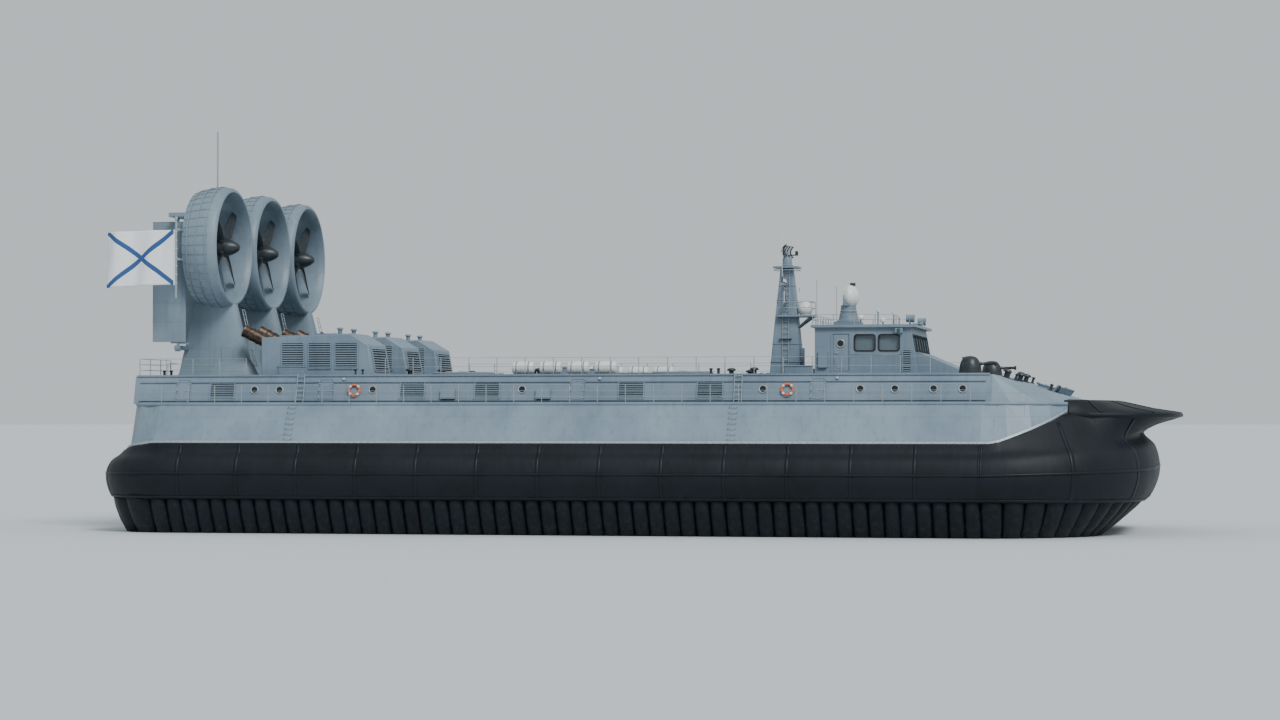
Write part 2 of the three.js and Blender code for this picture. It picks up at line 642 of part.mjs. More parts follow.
// Propeller about its own hub: +Y is aft
function propeller() {
  const spin = (profile) =>
    new THREE.LatheGeometry(profile.map(([r, y]) => new THREE.Vector2(r * M, y * M)), 18);
  const { hub, disc, rear, radius } = PROPELLER;
  const nose = [[0, -0.95], [0.16, -0.88], [0.34, -0.6], [hub, -0.2]];
  const boss = orient(spin([...nose, [hub, rear - disc], [0, rear - disc]]));
  // Stations along a blade: distance out, chord and how far it is turned from the disc
  const STATIONS = [
    { out: 0.36, chord: 0.42, turn: 62, thick: 0.16 },
    { out: 0.9, chord: 0.6, turn: 50, thick: 0.1 },
    { out: 1.7, chord: 0.62, turn: 36, thick: 0.07 },
    { out: 2.4, chord: 0.52, turn: 27, thick: 0.05 },
    { out: radius, chord: 0.36, turn: 23, thick: 0.04 },
  ];
  const blade = loft(
    STATIONS.map(({ out, chord, turn, thick }) => {
      const [c, s] = [Math.cos(radians(turn)), Math.sin(radians(turn))];
      return bladeOutline(chord, thick).map(([across, along]) => {
        const sweep = along - chord * 0.4;
        return new THREE.Vector3(out * M, (sweep * s + across * c) * M, (sweep * c - across * s) * M);
      });
    }),
  );
  const blades = [45, 135, 225, 315].map((angle) => orient(blade.clone().rotateY(radians(angle))));
  return fuse(boss, ...blades);
}

// Rudder about its post
function rudder() {
  const leaf = loft(
    [0, RUDDER.high - RUDDER.low].map((up) =>
      wingOutline(RUDDER.chord, 0.24).map(
        ([across, along]) => new THREE.Vector3(across * M, (along - RUDDER.fore) * M, up * M),
      ),
    ),
  );
  const [postLow, postHigh] = [RUDDER_BEAM.low + SEAT - RUDDER.low, RUDDER_BEAM.high - SEAT - RUDDER.low];
  const post = new THREE.CylinderGeometry(RUDDER.post * M, RUDDER.post * M, (postHigh - postLow) * M, 12);
  return fuse(leaf, post.rotateX(Math.PI / 2).translate(0, 0, ((postLow + postHigh) / 2) * M));
}

function pylon(port) {
  const sections = [
    { up: ROOF + SEAT, fore: 49.6, chord: 4.6, thick: 1.5 },
    { up: 9.4, fore: 50.1, chord: 3.9, thick: 0.95 },
    { up: DUCT.up - 2.9, fore: 50.9, chord: 2.3, thick: 0.7 },
  ];
  const trunk = loft(
    sections.map(({ up, fore, chord, thick }) =>
      wingOutline(chord, thick).map(([across, along]) => at(port + across, fore + along, up)),
    ),
  );
  const bore = RING.filter(([r]) => r > DUCT.inner).map(([r, a]) => [r + SEAT * 2, a]);
  const ends = [[bore.at(-1)[0], 54.0], [0, 54.0]];
  const saddle = turned([[0, 50.0], [bore[0][0], 50.0], ...bore, ...ends], RING_SIDES);
  const { low, depth } = RUDDER_BEAM;
  const [near, far] = [RUDDER.pivot - 0.15, RUDDER.pivot + 0.15];
  const tailBeam = block(port - 1.65, port + 1.65, near, far, low - depth, low);
  return fuse(cut(trunk, orient(saddle).translate(port * M, 0, DUCT.up * M)), tailBeam);
}

// Deckhouse that feeds air to one propulsion turbine, with its two exhaust pipes
function intakeHouse(port) {
  const half = 1.75;
  const profile = [[42.6, ROOF + SEAT], [48.9, ROOF + SEAT], [48.9, 10.5], [43.9, 10.7], [42.9, 10.1]];
  const house = sideways(profile, port - half, port + half);
  const pipes = [-1, 1].map((side) =>
    bar([port + side * 1.1, 47.6, 9.7], [port + side * 1.35, 50.0, 10.9], 0.34, 16),
  );
  const bores = [-1, 1].map((side) =>
    bar([port + side * 1.29, 49.4, 10.6], [port + side * 1.36, 50.1, 10.95], 0.28, 16),
  );
  const slats = [-1, 1].map((side) => {
    const [x0, x1] = [port + side * (half - 0.12), port + side * (half + 0.1)].sort((a, b) => a - b);
    return Array.from({ length: 5 }, (_, i) => block(x0, x1, 43.6, 47.2, 8.85 + i * 0.3, 9.0 + i * 0.3));
  });
  return cut(fuse(house, ...pipes), ...bores, ...slats.flat());
}

// Lift fan about its own hub
function liftFan() {
  const boss = new THREE.CylinderGeometry(0.3 * M, 0.3 * M, 0.4 * M, 14).rotateX(Math.PI / 2);
  const blades = Array.from({ length: 7 }, (_, i) => {
    const blade = new THREE.BoxGeometry((FAN.radius - 0.2) * M, 0.4 * M, 0.035 * M);
    blade.rotateX(radians(28)).translate(((FAN.radius + 0.2) / 2) * M, 0, 0);
    return orient(blade.rotateZ((i * 2 * Math.PI) / 7));
  });
  return fuse(boss, ...blades);
}

const bridgeFore = (up) => mix(BRIDGE.fore, BRIDGE.foreTop, (up - ROOF) / (BRIDGE.top - ROOF));
// Horizontal slice of the bridge, "inset" metres inside its outer face
const bridgeSlice = (up, inset) => {
  const [half, fore, aft] = [BRIDGE.half - inset, bridgeFore(up) + inset, BRIDGE.aft - inset];
  return [at(-half, fore, up), at(half, fore, up), at(half, aft, up), at(-half, aft, up)];
};
const bridgeBlock = (low, high, inset) => loft([low, high].map((up) => bridgeSlice(up, inset)));

const FRONT_WINDOWS = [-3.25, -1.95, -0.65, 0.65, 1.95, 3.25];
const SIDE_WINDOWS = [14.75, 16.05];

function wheelhouseWalls() {
  const outside = fuse(bridgeBlock(ROOF + SEAT, BRIDGE.top, 0), sideways(GLACIS, -GLACIS_HALF, GLACIS_HALF));
  const shell = cut(outside, bridgeBlock(BRIDGE.floor, BRIDGE.top + 0.1, BRIDGE.wall));
  const [fore, aft] = [BRIDGE.fore - 0.5, BRIDGE.fore + 1.0];
  const front = FRONT_WINDOWS.map((port) =>
    block(port - 0.52, port + 0.52, fore, aft, WINDOW.low, WINDOW.high),
  );
  const sides = [-1, 1].flatMap((side) => {
    const [x0, x1] = [side * 3.8, side * 4.5].sort((a, b) => a - b);
    return [
      ...SIDE_WINDOWS.map((aft) => block(x0, x1, aft, aft + 1.1, WINDOW.low, WINDOW.high)),
      block(x0, x1, DOOR.fore - 0.04, DOOR.aft, DOOR.low - DOOR_GAP, DOOR.high + DOOR_GAP),
    ];
  });
  return cut(shell, ...front, ...sides);
}

function wheelhouseGlass() {
  const [low, high] = [WINDOW.low - 0.08, WINDOW.high + 0.08];
  const inset = BRIDGE.wall + SEAT;
  const band = cut(bridgeBlock(low, high, inset), bridgeBlock(low - 0.1, high + 0.1, inset + 0.04));
  return cut(band, block(-5, 5, DOOR.fore - 0.2, BRIDGE.aft + 1, low - 0.1, high + 0.1));
}

function wheelhouseRoof() {
  const slab = block(-4.4, 4.4, BRIDGE.fore + 0.15, BRIDGE.aft + 0.2, BRIDGE.top + SEAT, 11.14);
  const lamps = [-3.0, 3.0].flatMap((port) => [
    bar([port, 14.3, 11.1], [port, 14.3, 11.36], 0.05, 10),
    bar([port, 14.12, 11.5], [port, 14.5, 11.5], 0.2, 16),
  ]);
  const locker = block(-0.9, 0.9, DIRECTOR.aft - 0.7, DIRECTOR.aft + 0.7, 11.1, DIRECTOR.foot);
  return fuse(slab, ...lamps, locker);
}

function bridgeConsole() {
  const floor = BRIDGE.floor + SEAT;
  const desk = sideways([[14.75, floor], [15.5, floor], [15.5, 9.42], [15.2, 9.6], [14.75, 9.68]], -3.2, 3.2);
  const dais = block(-2.2, 2.2, 15.4, 17.2, floor, floor + 0.1);
  const seats = [-1.5, 0, 1.5].flatMap((port) => [
    block(port - 0.06, port + 0.06, 16.14, 16.26, floor, 9.15),
    block(port - 0.28, port + 0.28, 15.95, 16.5, 9.1, 9.24),
    block(port - 0.28, port + 0.28, 16.4, 16.52, 9.2, 9.95),
  ]);
  return fuse(desk, dais, ...seats);
}

// Side door about its forward edge, where the hinge stands
function bridgeDoor(side) {
  const width = DOOR.aft - DOOR.fore - 0.03;
  const [x0, x1] = [0, -side * DOOR.thick].sort((a, b) => a - b);
  const leaf = localBlock(x0, x1, 0.015, 0.015 + width, 0, DOOR.high - DOOR.low);
  const height = DOOR.high - DOOR.low;
  const pinLength = height + 2 * (DOOR_GAP - SEAT);
  const pin = new THREE.CylinderGeometry(0.025 * M, 0.025 * M, pinLength * M, 10).rotateX(Math.PI / 2);
  return fuse(leaf, pin.translate(-side * 0.03 * M, 0, (height / 2) * M));
}

const MAST = { aft: 21.4, table: 14.5 };
function mast() {
  const levels = [
    { up: ROOF + SEAT, half: 0.75, depth: 0.9 },
    { up: 11.6, half: 0.5, depth: 0.62 },
    { up: MAST.table, half: 0.3, depth: 0.34 },
  ];
  const trunk = loft(
    levels.map(({ up, half, depth }) => {
      const corners = [[-half, -depth], [half, -depth], [half, depth], [-half, depth]];
      return corners.map(([port, aft]) => at(port, MAST.aft + aft, up));
    }),
  );
  const yard = block(-2.1, 2.1, MAST.aft - 0.08, MAST.aft + 0.08, 13.4, 13.54);
  const table = block(-0.7, 0.7, MAST.aft - 0.7, MAST.aft + 0.7, MAST.table - 0.1, MAST.table);
  const lowTable = block(-0.9, 0.9, MAST.aft - 1.5, MAST.aft + 0.5, 11.7, 11.8);
  const dome = new THREE.SphereGeometry(0.42 * M, 14, 9).translate(...at(0, MAST.aft - 1.0, 12.1).toArray());
  const whips = [-1.95, 1.95].map((port) =>
    bar([port, MAST.aft, 13.4], [port, MAST.aft, 16.4], 0.035, 8, 0.02),
  );
  return fuse(trunk, yard, table, lowTable, orient(dome), ...whips);
}

// Search radar about its turntable
function radarAntenna() {
  const turntable = new THREE.CylinderGeometry(0.26 * M, 0.32 * M, 0.5 * M, 16).rotateX(Math.PI / 2);
  turntable.translate(0, 0, 0.25 * M);
  const reflector = loft(
    [-1.25, -0.6, 0, 0.6, 1.25].map((port) => {
      const bow = -0.28 * (1 - (port / 1.25) ** 2);
      return [[0.22, 0.55], [0.3, 0.55], [0.3, 1.15], [0.22, 1.15]].map(
        ([y, z]) => new THREE.Vector3(port * M, (y - bow - 0.3) * M, z * M),
      );
    }),
  );
  return fuse(turntable, reflector, localBlock(-0.1, 0.1, -0.1, 0.25, 0.4, 0.8));
}

const directorPedestal = () =>
  bar([0, DIRECTOR.aft, DIRECTOR.foot + SEAT], [0, DIRECTOR.aft, DIRECTOR.top], 0.62, 18, 0.45);

// Gun director's head about its turntable
function directorHead() {
  const drum = new THREE.CylinderGeometry(0.42 * M, 0.48 * M, 0.4 * M, 18).rotateX(Math.PI / 2);
  drum.translate(0, 0, 0.2 * M);
  const dish = new THREE.CylinderGeometry(0.62 * M, 0.45 * M, 0.35 * M, 16).rotateX(Math.PI);
  const shell = new THREE.SphereGeometry(0.66 * M, 16, 8);
  shell.scale(1, 0.45, 1);
  dish.translate(0, -0.1 * M, 0.85 * M);
  shell.translate(0, -0.28 * M, 0.85 * M);
  return fuse(drum, orient(dish), orient(shell), localBlock(-0.12, 0.12, -0.1, 0.3, 0.3, 0.8));
}

// Turret about its ring, facing the bow, slotted for the gun
const GUN_SLOT = 0.2;
function turret() {
  const crown = [[0.56, 0.5], [0.42, 0.86], [0.2, 0.98], [0, 1.0]];
  const shape = [[0, 0], [TURRET.radius, 0], [TURRET.radius, 0.12], ...crown];
  const shell = new THREE.LatheGeometry(shape.map(([r, y]) => new THREE.Vector2(r * M, y * M)), 20);
  shell.rotateX(Math.PI / 2);
  const slot = localBlock(-GUN_SLOT, GUN_SLOT, -0.8, 0.2, 0.22, 1.2);
  return cut(orient(shell), slot);
}

// Six-barrelled gun about its trunnion, pointing at the bow
function gun() {
  const cluster = new THREE.CylinderGeometry(0.09 * M, 0.1 * M, 1.15 * M, 12).translate(0, -0.75 * M, 0);
  const muzzle = new THREE.CylinderGeometry(0.115 * M, 0.115 * M, 0.14 * M, 12).translate(0, -1.3 * M, 0);
  const cradle = localBlock(-0.15, 0.15, -0.34, 0.1, -0.14, 0.12);
  const pinLength = 2 * (GUN_SLOT - SEAT) * M;
  const pin = new THREE.CylinderGeometry(0.05 * M, 0.05 * M, pinLength, 12).rotateZ(Math.PI / 2);
  return fuse(cluster, muzzle, cradle, pin);
}

function raftRack(side) {
  const port = side * 8.35;
  const planks = block(port - 0.3, port + 0.3, 29.2, 35.0, ROOF + SEAT, ROOF + 0.12);
  const canisters = [29.9, 31.4, 32.9, 34.4].map((aft) =>
    bar([port, aft - 0.6, ROOF + 0.42], [port, aft + 0.6, ROOF + 0.42], 0.34, 14),
  );
  const saddles = [29.9, 31.4, 32.9, 34.4].map((aft) =>
    block(port - 0.26, port + 0.26, aft - 0.3, aft + 0.3, ROOF + 0.1, ROOF + 0.3),
  );
  return fuse(planks, ...canisters, ...saddles);
}

const STAFF = { port: -10.45, aft: 53.12, low: 12.6, high: 16.9, radius: 0.06, ties: [14.7, 16.3] };
const ENSIGN = { low: 13.3, hoist: 3.0, run: 3.9, thick: 0.03 };

function ensignStaff() {
  const { port, aft, low, high, radius } = STAFF;
  const pole = bar([port, aft, low], [port, aft, high], radius, 10);
  const truck = new THREE.SphereGeometry(0.1 * M, 12, 8).translate(...at(port, aft, high).toArray());
  const arms = STAFF.ties.map((up) => {
    const drop = up - DUCT.up;
    const rim = DUCT_PORTS.starboard - Math.sqrt((DUCT.outer - 0.24) ** 2 - drop ** 2);
    return block(port, rim + 0.1, aft - 0.2, aft - 0.06, up - 0.05, up + 0.05);
  });
  const clamp = turned([...RING, RING[0]].map(([r, a]) => [r + SEAT * 1.5, a]), RING_SIDES);
  const rimFill = turned([[0, 50], [DUCT.inner + 0.1, 50], [DUCT.inner + 0.1, 54], [0, 54]], RING_SIDES);
  const centre = [DUCT_PORTS.starboard * M, 0, DUCT.up * M];
  const tie = STAFF.ties.map((up) => block(port, port + 0.14, aft - 0.2, aft, up - 0.05, up + 0.05));
  return cut(
    fuse(pole, orient(truck), ...arms, ...tie),
    orient(clamp).translate(...centre),
    orient(rimFill).translate(...centre),
  );
}

// Flag streaming aft in three soft waves
function ensign() {
  const steps = 12;
  const sections = Array.from({ length: steps + 1 }, (_, i) => {
    const share = i / steps;
    const wave = 0.22 * share * Math.sin(share * 4.2 * Math.PI);
    const aft = STAFF.aft + STAFF.radius + SEAT + share * ENSIGN.run;
    return [[-1, 0], [1, 0], [1, 1], [-1, 1]].map(([face, top]) =>
      at(STAFF.port + wave + (face * ENSIGN.thick) / 2, aft, ENSIGN.low + top * ENSIGN.hoist),
    );
  });
  return loft(sections);
}

// Assembly
const { hullGrey, deckGrey, rubber, darkMetal, glass, white, flag } = finishes;
const SIDES = { port: 1, starboard: -1 };

place("raft", raft(), deckGrey);
place("foredeck", foredeck(), hullGrey);
place("bow_apron", bowApron(), rubber);
place("hold_roof", holdRoof(), deckGrey);
place("stern_frame", sternFrame(), hullGrey);
place("skirt_bow_centre", skirtBowCentre(), rubber);
place("skirt_stern_centre", skirtSternCentre(), rubber);
place("cushion_keels", cushionKeels(), rubber);
for (const [name, side] of Object.entries(SIDES)) {
  place(`hull_${name}`, hull(side), hullGrey);
  place(`deckhouse_${name}`, deckhouse(side), hullGrey);
  place(`skirt_bow_${name}`, skirtBowCorner(side), rubber);
  place(`skirt_${name}`, skirtSide(side), rubber);
  place(`raft_rack_${name}`, raftRack(side), white);
  const hinge = at(side * BRIDGE.half, DOOR.fore, DOOR.low);
  place(`bridge_door_${name}`, bridgeDoor(side), hullGrey, group, hinge);
  const mount = new THREE.Group();
  mount.position.copy(at(side * TURRET.port, TURRET.aft, ROOF + SEAT));
  group.add(mount);
  place(`turret_${name}`, turret(), darkMetal, mount);
  place(`gun_${name}`, gun(), darkMetal, mount, new THREE.Vector3(0, 0, (TURRET.trunnion - ROOF) * M));
  FAN.aft.forEach((aft, i) => {
    const end = ["fore", "aft"][i];
    place(`lift_fan_${name}_${end}`, liftFan(), darkMetal, group, at(side * FAN.port, aft, FAN.disc));
  });
}
place("wheelhouse_walls", wheelhouseWalls(), hullGrey);
place("wheelhouse_roof", wheelhouseRoof(), hullGrey);
place("wheelhouse_glass", wheelhouseGlass(), glass);
place("bridge_console", bridgeConsole(), darkMetal);
place("mast", mast(), hullGrey);
place("radar_antenna", radarAntenna(), darkMetal, group, at(0, MAST.aft, MAST.table + SEAT));
place("director_pedestal", directorPedestal(), hullGrey);
place("director_head", directorHead(), white, group, at(0, DIRECTOR.aft, DIRECTOR.top + SEAT));

const lightPole = bar([0, 52.0, DUCT.outer - 0.1], [0, 52.0, HEIGHT - DUCT.up], 0.05, 8);
for (const [name, port] of Object.entries(DUCT_PORTS)) {
  place(`intake_house_${name}`, intakeHouse(port), hullGrey);
  place(`pylon_${name}`, pylon(port), hullGrey);
  place(`duct_${name}`, duct(port, name === "starboard" ? [lightPole] : []), hullGrey);
  place(`propeller_${name}`, propeller(), darkMetal, group, at(port, PROPELLER.disc, DUCT.up));
  for (const [hand, side] of Object.entries({ left: 1, right: -1 })) {
    const post = at(port + side * RUDDER.offset, RUDDER.pivot, RUDDER.low);
    place(`rudder_${name}_${hand}`, rudder(), hullGrey, group, post);
  }
}

const bowRamp = new THREE.Group();
bowRamp.position.copy(at(0, BOW_HINGE.aft, BOW_HINGE.up));
group.add(bowRamp);
place("bow_ramp", rampPanel(RAMP.half, 1, true), deckGrey, bowRamp);
const flapHinge = new THREE.Vector3(0, FLAP.pivotIn * M, FLAP.pivotUp * M);
place("bow_ramp_flap", rampFlap(), deckGrey, bowRamp, flapHinge);
const sternHinge = at(0, STERN_HINGE.aft, STERN_HINGE.up);
place("stern_ramp", rampPanel(STERN_RAMP_HALF, -1, false), deckGrey, group, sternHinge);
place("ensign_staff", ensignStaff(), darkMetal);
place("ensign", ensign(), flag);

export default group;
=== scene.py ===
# Landing hovercraft at half size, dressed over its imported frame.
# Sizes are metres of the real craft: port of the centreline, aft of the bow tip, up from the skirt's hem.
import math

import bmesh
import bpy
from mathutils import Matrix, Vector
from mathutils.geometry import interpolate_bezier


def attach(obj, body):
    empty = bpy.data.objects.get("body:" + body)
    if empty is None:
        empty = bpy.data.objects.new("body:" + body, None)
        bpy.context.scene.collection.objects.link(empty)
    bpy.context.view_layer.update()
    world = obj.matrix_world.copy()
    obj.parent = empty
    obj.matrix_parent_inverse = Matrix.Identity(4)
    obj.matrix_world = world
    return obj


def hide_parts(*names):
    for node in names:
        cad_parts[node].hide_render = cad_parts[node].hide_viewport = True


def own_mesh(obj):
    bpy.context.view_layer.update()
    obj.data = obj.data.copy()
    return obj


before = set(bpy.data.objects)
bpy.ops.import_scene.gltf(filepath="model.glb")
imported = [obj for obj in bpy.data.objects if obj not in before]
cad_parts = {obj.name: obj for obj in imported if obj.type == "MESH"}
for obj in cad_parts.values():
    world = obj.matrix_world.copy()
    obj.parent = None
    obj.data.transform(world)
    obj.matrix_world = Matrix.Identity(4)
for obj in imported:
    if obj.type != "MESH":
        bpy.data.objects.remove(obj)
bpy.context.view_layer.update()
print("frame loaded")

# scale is metres of model for each metre of the craft; roof and deckEdge are heights
craft = {"length": 57.3, "scale": 0.5, "roof": 8.4, "deckEdge": 6.9}
toModel = Matrix.Scale(craft["scale"], 4) @ Matrix.Translation((0, -craft["length"] / 2, 0))


def mix(start, end, share):
    return start + (end - start) * share


# Camera, at the photograph's viewing angle and drawn in to the craft
view = {"place": (-83.9, -15.9, 3.06), "heading": (0.981, 0.192), "pitch": 1.09, "lens": 86.3}


def makeCamera():
    data = bpy.data.cameras.new("camera")
    data.lens = view["lens"]
    data.sensor_width = 36
    data.clip_end = 4000
    camera = bpy.data.objects.new("camera", data)
    camera.location = view["place"]
    ahead = Vector((*view["heading"], math.tan(math.radians(view["pitch"]))))
    camera.rotation_euler = ahead.to_track_quat("-Z", "Y").to_euler()
    bpy.context.scene.collection.objects.link(camera)
    bpy.context.scene.camera = camera


makeCamera()


def linear(colour):
    channels = [int(colour[i : i + 2], 16) / 255 for i in (1, 3, 5)]
    return (*[c / 12.92 if c <= 0.04045 else ((c + 0.055) / 1.055) ** 2.4 for c in channels], 1)


# Adds a node with its settings, inputs and links; stops are the colours along a ramp
def addNode(tree, kind, inputs=None, stops=(), **settings):
    node = tree.nodes.new("ShaderNode" + kind)
    for name, value in settings.items():
        setattr(node, name, value)
    for name, value in (inputs or {}).items():
        if isinstance(value, bpy.types.NodeSocket):
            tree.links.new(value, node.inputs[name])
        else:
            node.inputs[name].default_value = value
    for i, (position, shade) in enumerate(stops):
        stop = node.color_ramp.elements[i] if i < 2 else node.color_ramp.elements.new(position)
        stop.position = position
        stop.color = (shade, shade, shade, 1) if isinstance(shade, float) else linear(shade)
    return node


# Lays one colour over another by a share
def mixColours(tree, share, under, over, blend="MIX"):
    inputs = {0: share, 6: under, 7: over}
    return addNode(tree, "Mix", inputs, data_type="RGBA", blend_type=blend).outputs[2]


def newMaterial(name, colour, roughness, metallic=0.0, **more):
    material = bpy.data.materials.new(name)
    material.use_nodes = True
    shader = material.node_tree.nodes["Principled BSDF"]
    shader.inputs["Base Color"].default_value = linear(colour)
    shader.inputs["Roughness"].default_value = roughness
    shader.inputs["Metallic"].default_value = metallic
    for socket, value in more.items():
        shader.inputs[socket].default_value = value
    return material, material.node_tree, shader


# Marine enamel sprayed on welded aluminium plate: satin, with faint plate seams, chalky patches where the
# sun has faded it, and thin grey runs below the fittings
enamel = {
    "plate": (1.5, 0.62),
    "seam": 0.006,
    "patch": 0.55,
    "runs": (2.2, 2.2, 0.16),
    "level": 0.975,  # how level a top is, from 0 to 1, before it counts as walked on
    "walkedRoughness": 0.86,
}


def marineEnamel(name, colour, pale, grime, across="YZ", roughness=0.42, walked=None):
    material, tree, shader = newMaterial(name, colour, roughness)
    place = addNode(tree, "TexCoord").outputs["Object"]
    axes = addNode(tree, "SeparateXYZ", {"Vector": place})
    flat = addNode(tree, "CombineXYZ", {"X": axes.outputs[across[0]], "Y": axes.outputs[across[1]]})
    plates = addNode(
        tree,
        "TexBrick",
        {
            "Vector": flat.outputs[0],
            "Color1": (0.46, 0.46, 0.46, 1),
            "Color2": (0.56, 0.56, 0.56, 1),
            "Mortar": (0.3, 0.3, 0.3, 1),
            "Scale": 1.0,
            "Mortar Size": enamel["seam"],
            "Mortar Smooth": 0.6,
            "Brick Width": enamel["plate"][0],
            "Row Height": enamel["plate"][1],
        },
    )
    fading = {"Vector": place, "Scale": enamel["patch"], "Detail": 6.0, "Roughness": 0.6}
    patch = addNode(tree, "TexNoise", fading)
    stretch = addNode(tree, "Mapping", {"Vector": place, "Scale": enamel["runs"]})
    streaks = {"Vector": stretch.outputs[0], "Scale": 2.4, "Detail": 5.0, "Roughness": 0.7}
    runs = addNode(tree, "TexNoise", streaks)
    runShare = addNode(tree, "ValToRGB", {"Fac": runs.outputs[0]}, [(0.52, 0.0), (0.78, 0.42)])
    faded = addNode(tree, "ValToRGB", {"Fac": patch.outputs[0]}, [(0.3, colour), (0.72, pale)])
    plated = mixColours(tree, 0.22, faded.outputs[0], plates.outputs["Color"], "OVERLAY")
    coat = mixColours(tree, runShare.outputs[0], plated, linear(grime))
    levels = {"Value": patch.outputs[0], "To Min": roughness - 0.1, "To Max": roughness + 0.2}
    dullness = addNode(tree, "MapRange", levels).outputs[0]
    if walked:
        normal = addNode(tree, "NewGeometry").outputs["True Normal"]
        facing = addNode(tree, "SeparateXYZ", {"Vector": normal}).outputs["Z"]
        top = addNode(tree, "Math", {0: facing, 1: enamel["level"]}, operation="GREATER_THAN").outputs[0]
        worn = addNode(tree, "ValToRGB", {"Fac": patch.outputs[0]}, [(0.34, walked[0]), (0.7, walked[1])])
        coat = mixColours(tree, top, coat, worn.outputs[0])
        dullness = addNode(tree, "Mix", {0: top, 2: dullness, 3: enamel["walkedRoughness"]}).outputs[0]
    tree.links.new(coat, shader.inputs["Base Color"])
    tree.links.new(dullness, shader.inputs["Roughness"])
    dent = addNode(tree, "TexNoise", {"Vector": place, "Scale": 3.2, "Detail": 2.0})
    height = addNode(tree, "Math", {0: dent.outputs[0], 1: plates.outputs["Fac"]}, operation="SUBTRACT")
    bump = addNode(tree, "Bump", {"Height": height.outputs[0], "Strength": 0.35, "Distance": 0.012})
    tree.links.new(bump.outputs[0], shader.inputs["Normal"])
    return material


# Non-slip deck paint with sharp sand in it: dead matt, gritty, polished paler where boots pass. The grit is
# 1 mm in life and is drawn at 12 mm so that it shows
def nonSlipPaint(name, colour, pale):
    material, tree, shader = newMaterial(name, colour, 0.86)
    place = addNode(tree, "TexCoord").outputs["Object"]
    grit = addNode(tree, "TexNoise", {"Vector": place, "Scale": 85.0, "Detail": 3.0, "Roughness": 0.7})
    patch = addNode(tree, "TexNoise", {"Vector": place, "Scale": 0.7, "Detail": 7.0, "Roughness": 0.65})
    worn = addNode(tree, "ValToRGB", {"Fac": patch.outputs[0]}, [(0.34, colour), (0.7, pale)])
    speckle = addNode(tree, "ValToRGB", {"Fac": grit.outputs[0]}, [(0.35, 0.36), (0.65, 0.62)])
    tone = mixColours(tree, 0.4, worn.outputs[0], speckle.outputs[0], "OVERLAY")
    tree.links.new(tone, shader.inputs["Base Color"])
    bump = addNode(tree, "Bump", {"Height": grit.outputs[0], "Strength": 0.5, "Distance": 0.004})
    tree.links.new(bump.outputs[0], shader.inputs["Normal"])
    return material


# Nylon cloth coated with black rubber: soft sheen on the swell of the bag, long tension creases, a dull
# grey salt bloom low down. Threads are 1 mm apart in life and are drawn at 14 mm
coatedCloth = {"black": "#03080e", "grey": "#101b24", "salt": "#38464e", "thread": 14.0}


def rubberCloth(name, roughness=0.5):
    material, tree, shader = newMaterial(name, coatedCloth["black"], roughness)
    shader.inputs["Specular IOR Level"].default_value = 0.3
    place = addNode(tree, "TexCoord").outputs["Object"]
    cloud = addNode(tree, "TexNoise", {"Vector": place, "Scale": 0.9, "Detail": 8.0, "Roughness": 0.62})
    stops = [(0.3, coatedCloth["black"]), (0.78, coatedCloth["grey"])]
    tone = addNode(tree, "ValToRGB", {"Fac": cloud.outputs[0]}, stops)
    height = addNode(tree, "SeparateXYZ", {"Vector": place})
    low = addNode(tree, "MapRange", {"Value": height.outputs["Z"], "From Min": 1.3, "From Max": 0.0})
    splash = addNode(tree, "TexNoise", {"Vector": place, "Scale": 7.0, "Detail": 6.0, "Roughness": 0.75})
    salt = addNode(tree, "ValToRGB", {"Fac": splash.outputs[0]}, [(0.5, 0.0), (0.72, 0.5)])
    share = addNode(tree, "Math", {0: salt.outputs[0], 1: low.outputs[0]}, operation="MULTIPLY")
    bloom = mixColours(tree, share.outputs[0], tone.outputs[0], linear(coatedCloth["salt"]))
    tree.links.new(bloom, shader.inputs["Base Color"])
    creases = addNode(tree, "Mapping", {"Vector": place, "Scale": (1.0, 1.0, 0.28)})
    crease = {"Vector": creases.outputs[0], "Scale": 3.4, "Detail": 5.0, "Distortion": 0.6}
    folds = addNode(tree, "TexNoise", crease)
    thread = {"Vector": place, "Scale": 1000 / coatedCloth["thread"] / 6.28, "Distortion": 0.5}
    threads = addNode(tree, "TexWave", thread, bands_direction="DIAGONAL")
    fine = addNode(tree, "Bump", {"Height": threads.outputs["Fac"], "Strength": 0.14, "Distance": 0.002})
    relief = {"Height": folds.outputs[0], "Normal": fine.outputs[0], "Strength": 0.4, "Distance": 0.03}
    bump = addNode(tree, "Bump", relief)
    tree.links.new(bump.outputs[0], shader.inputs["Normal"])
    levels = {"Value": cloud.outputs[0], "To Min": roughness - 0.12, "To Max": roughness + 0.22}
    gloss = addNode(tree, "MapRange", levels)
    tree.links.new(gloss.outputs[0], shader.inputs["Roughness"])
    return material


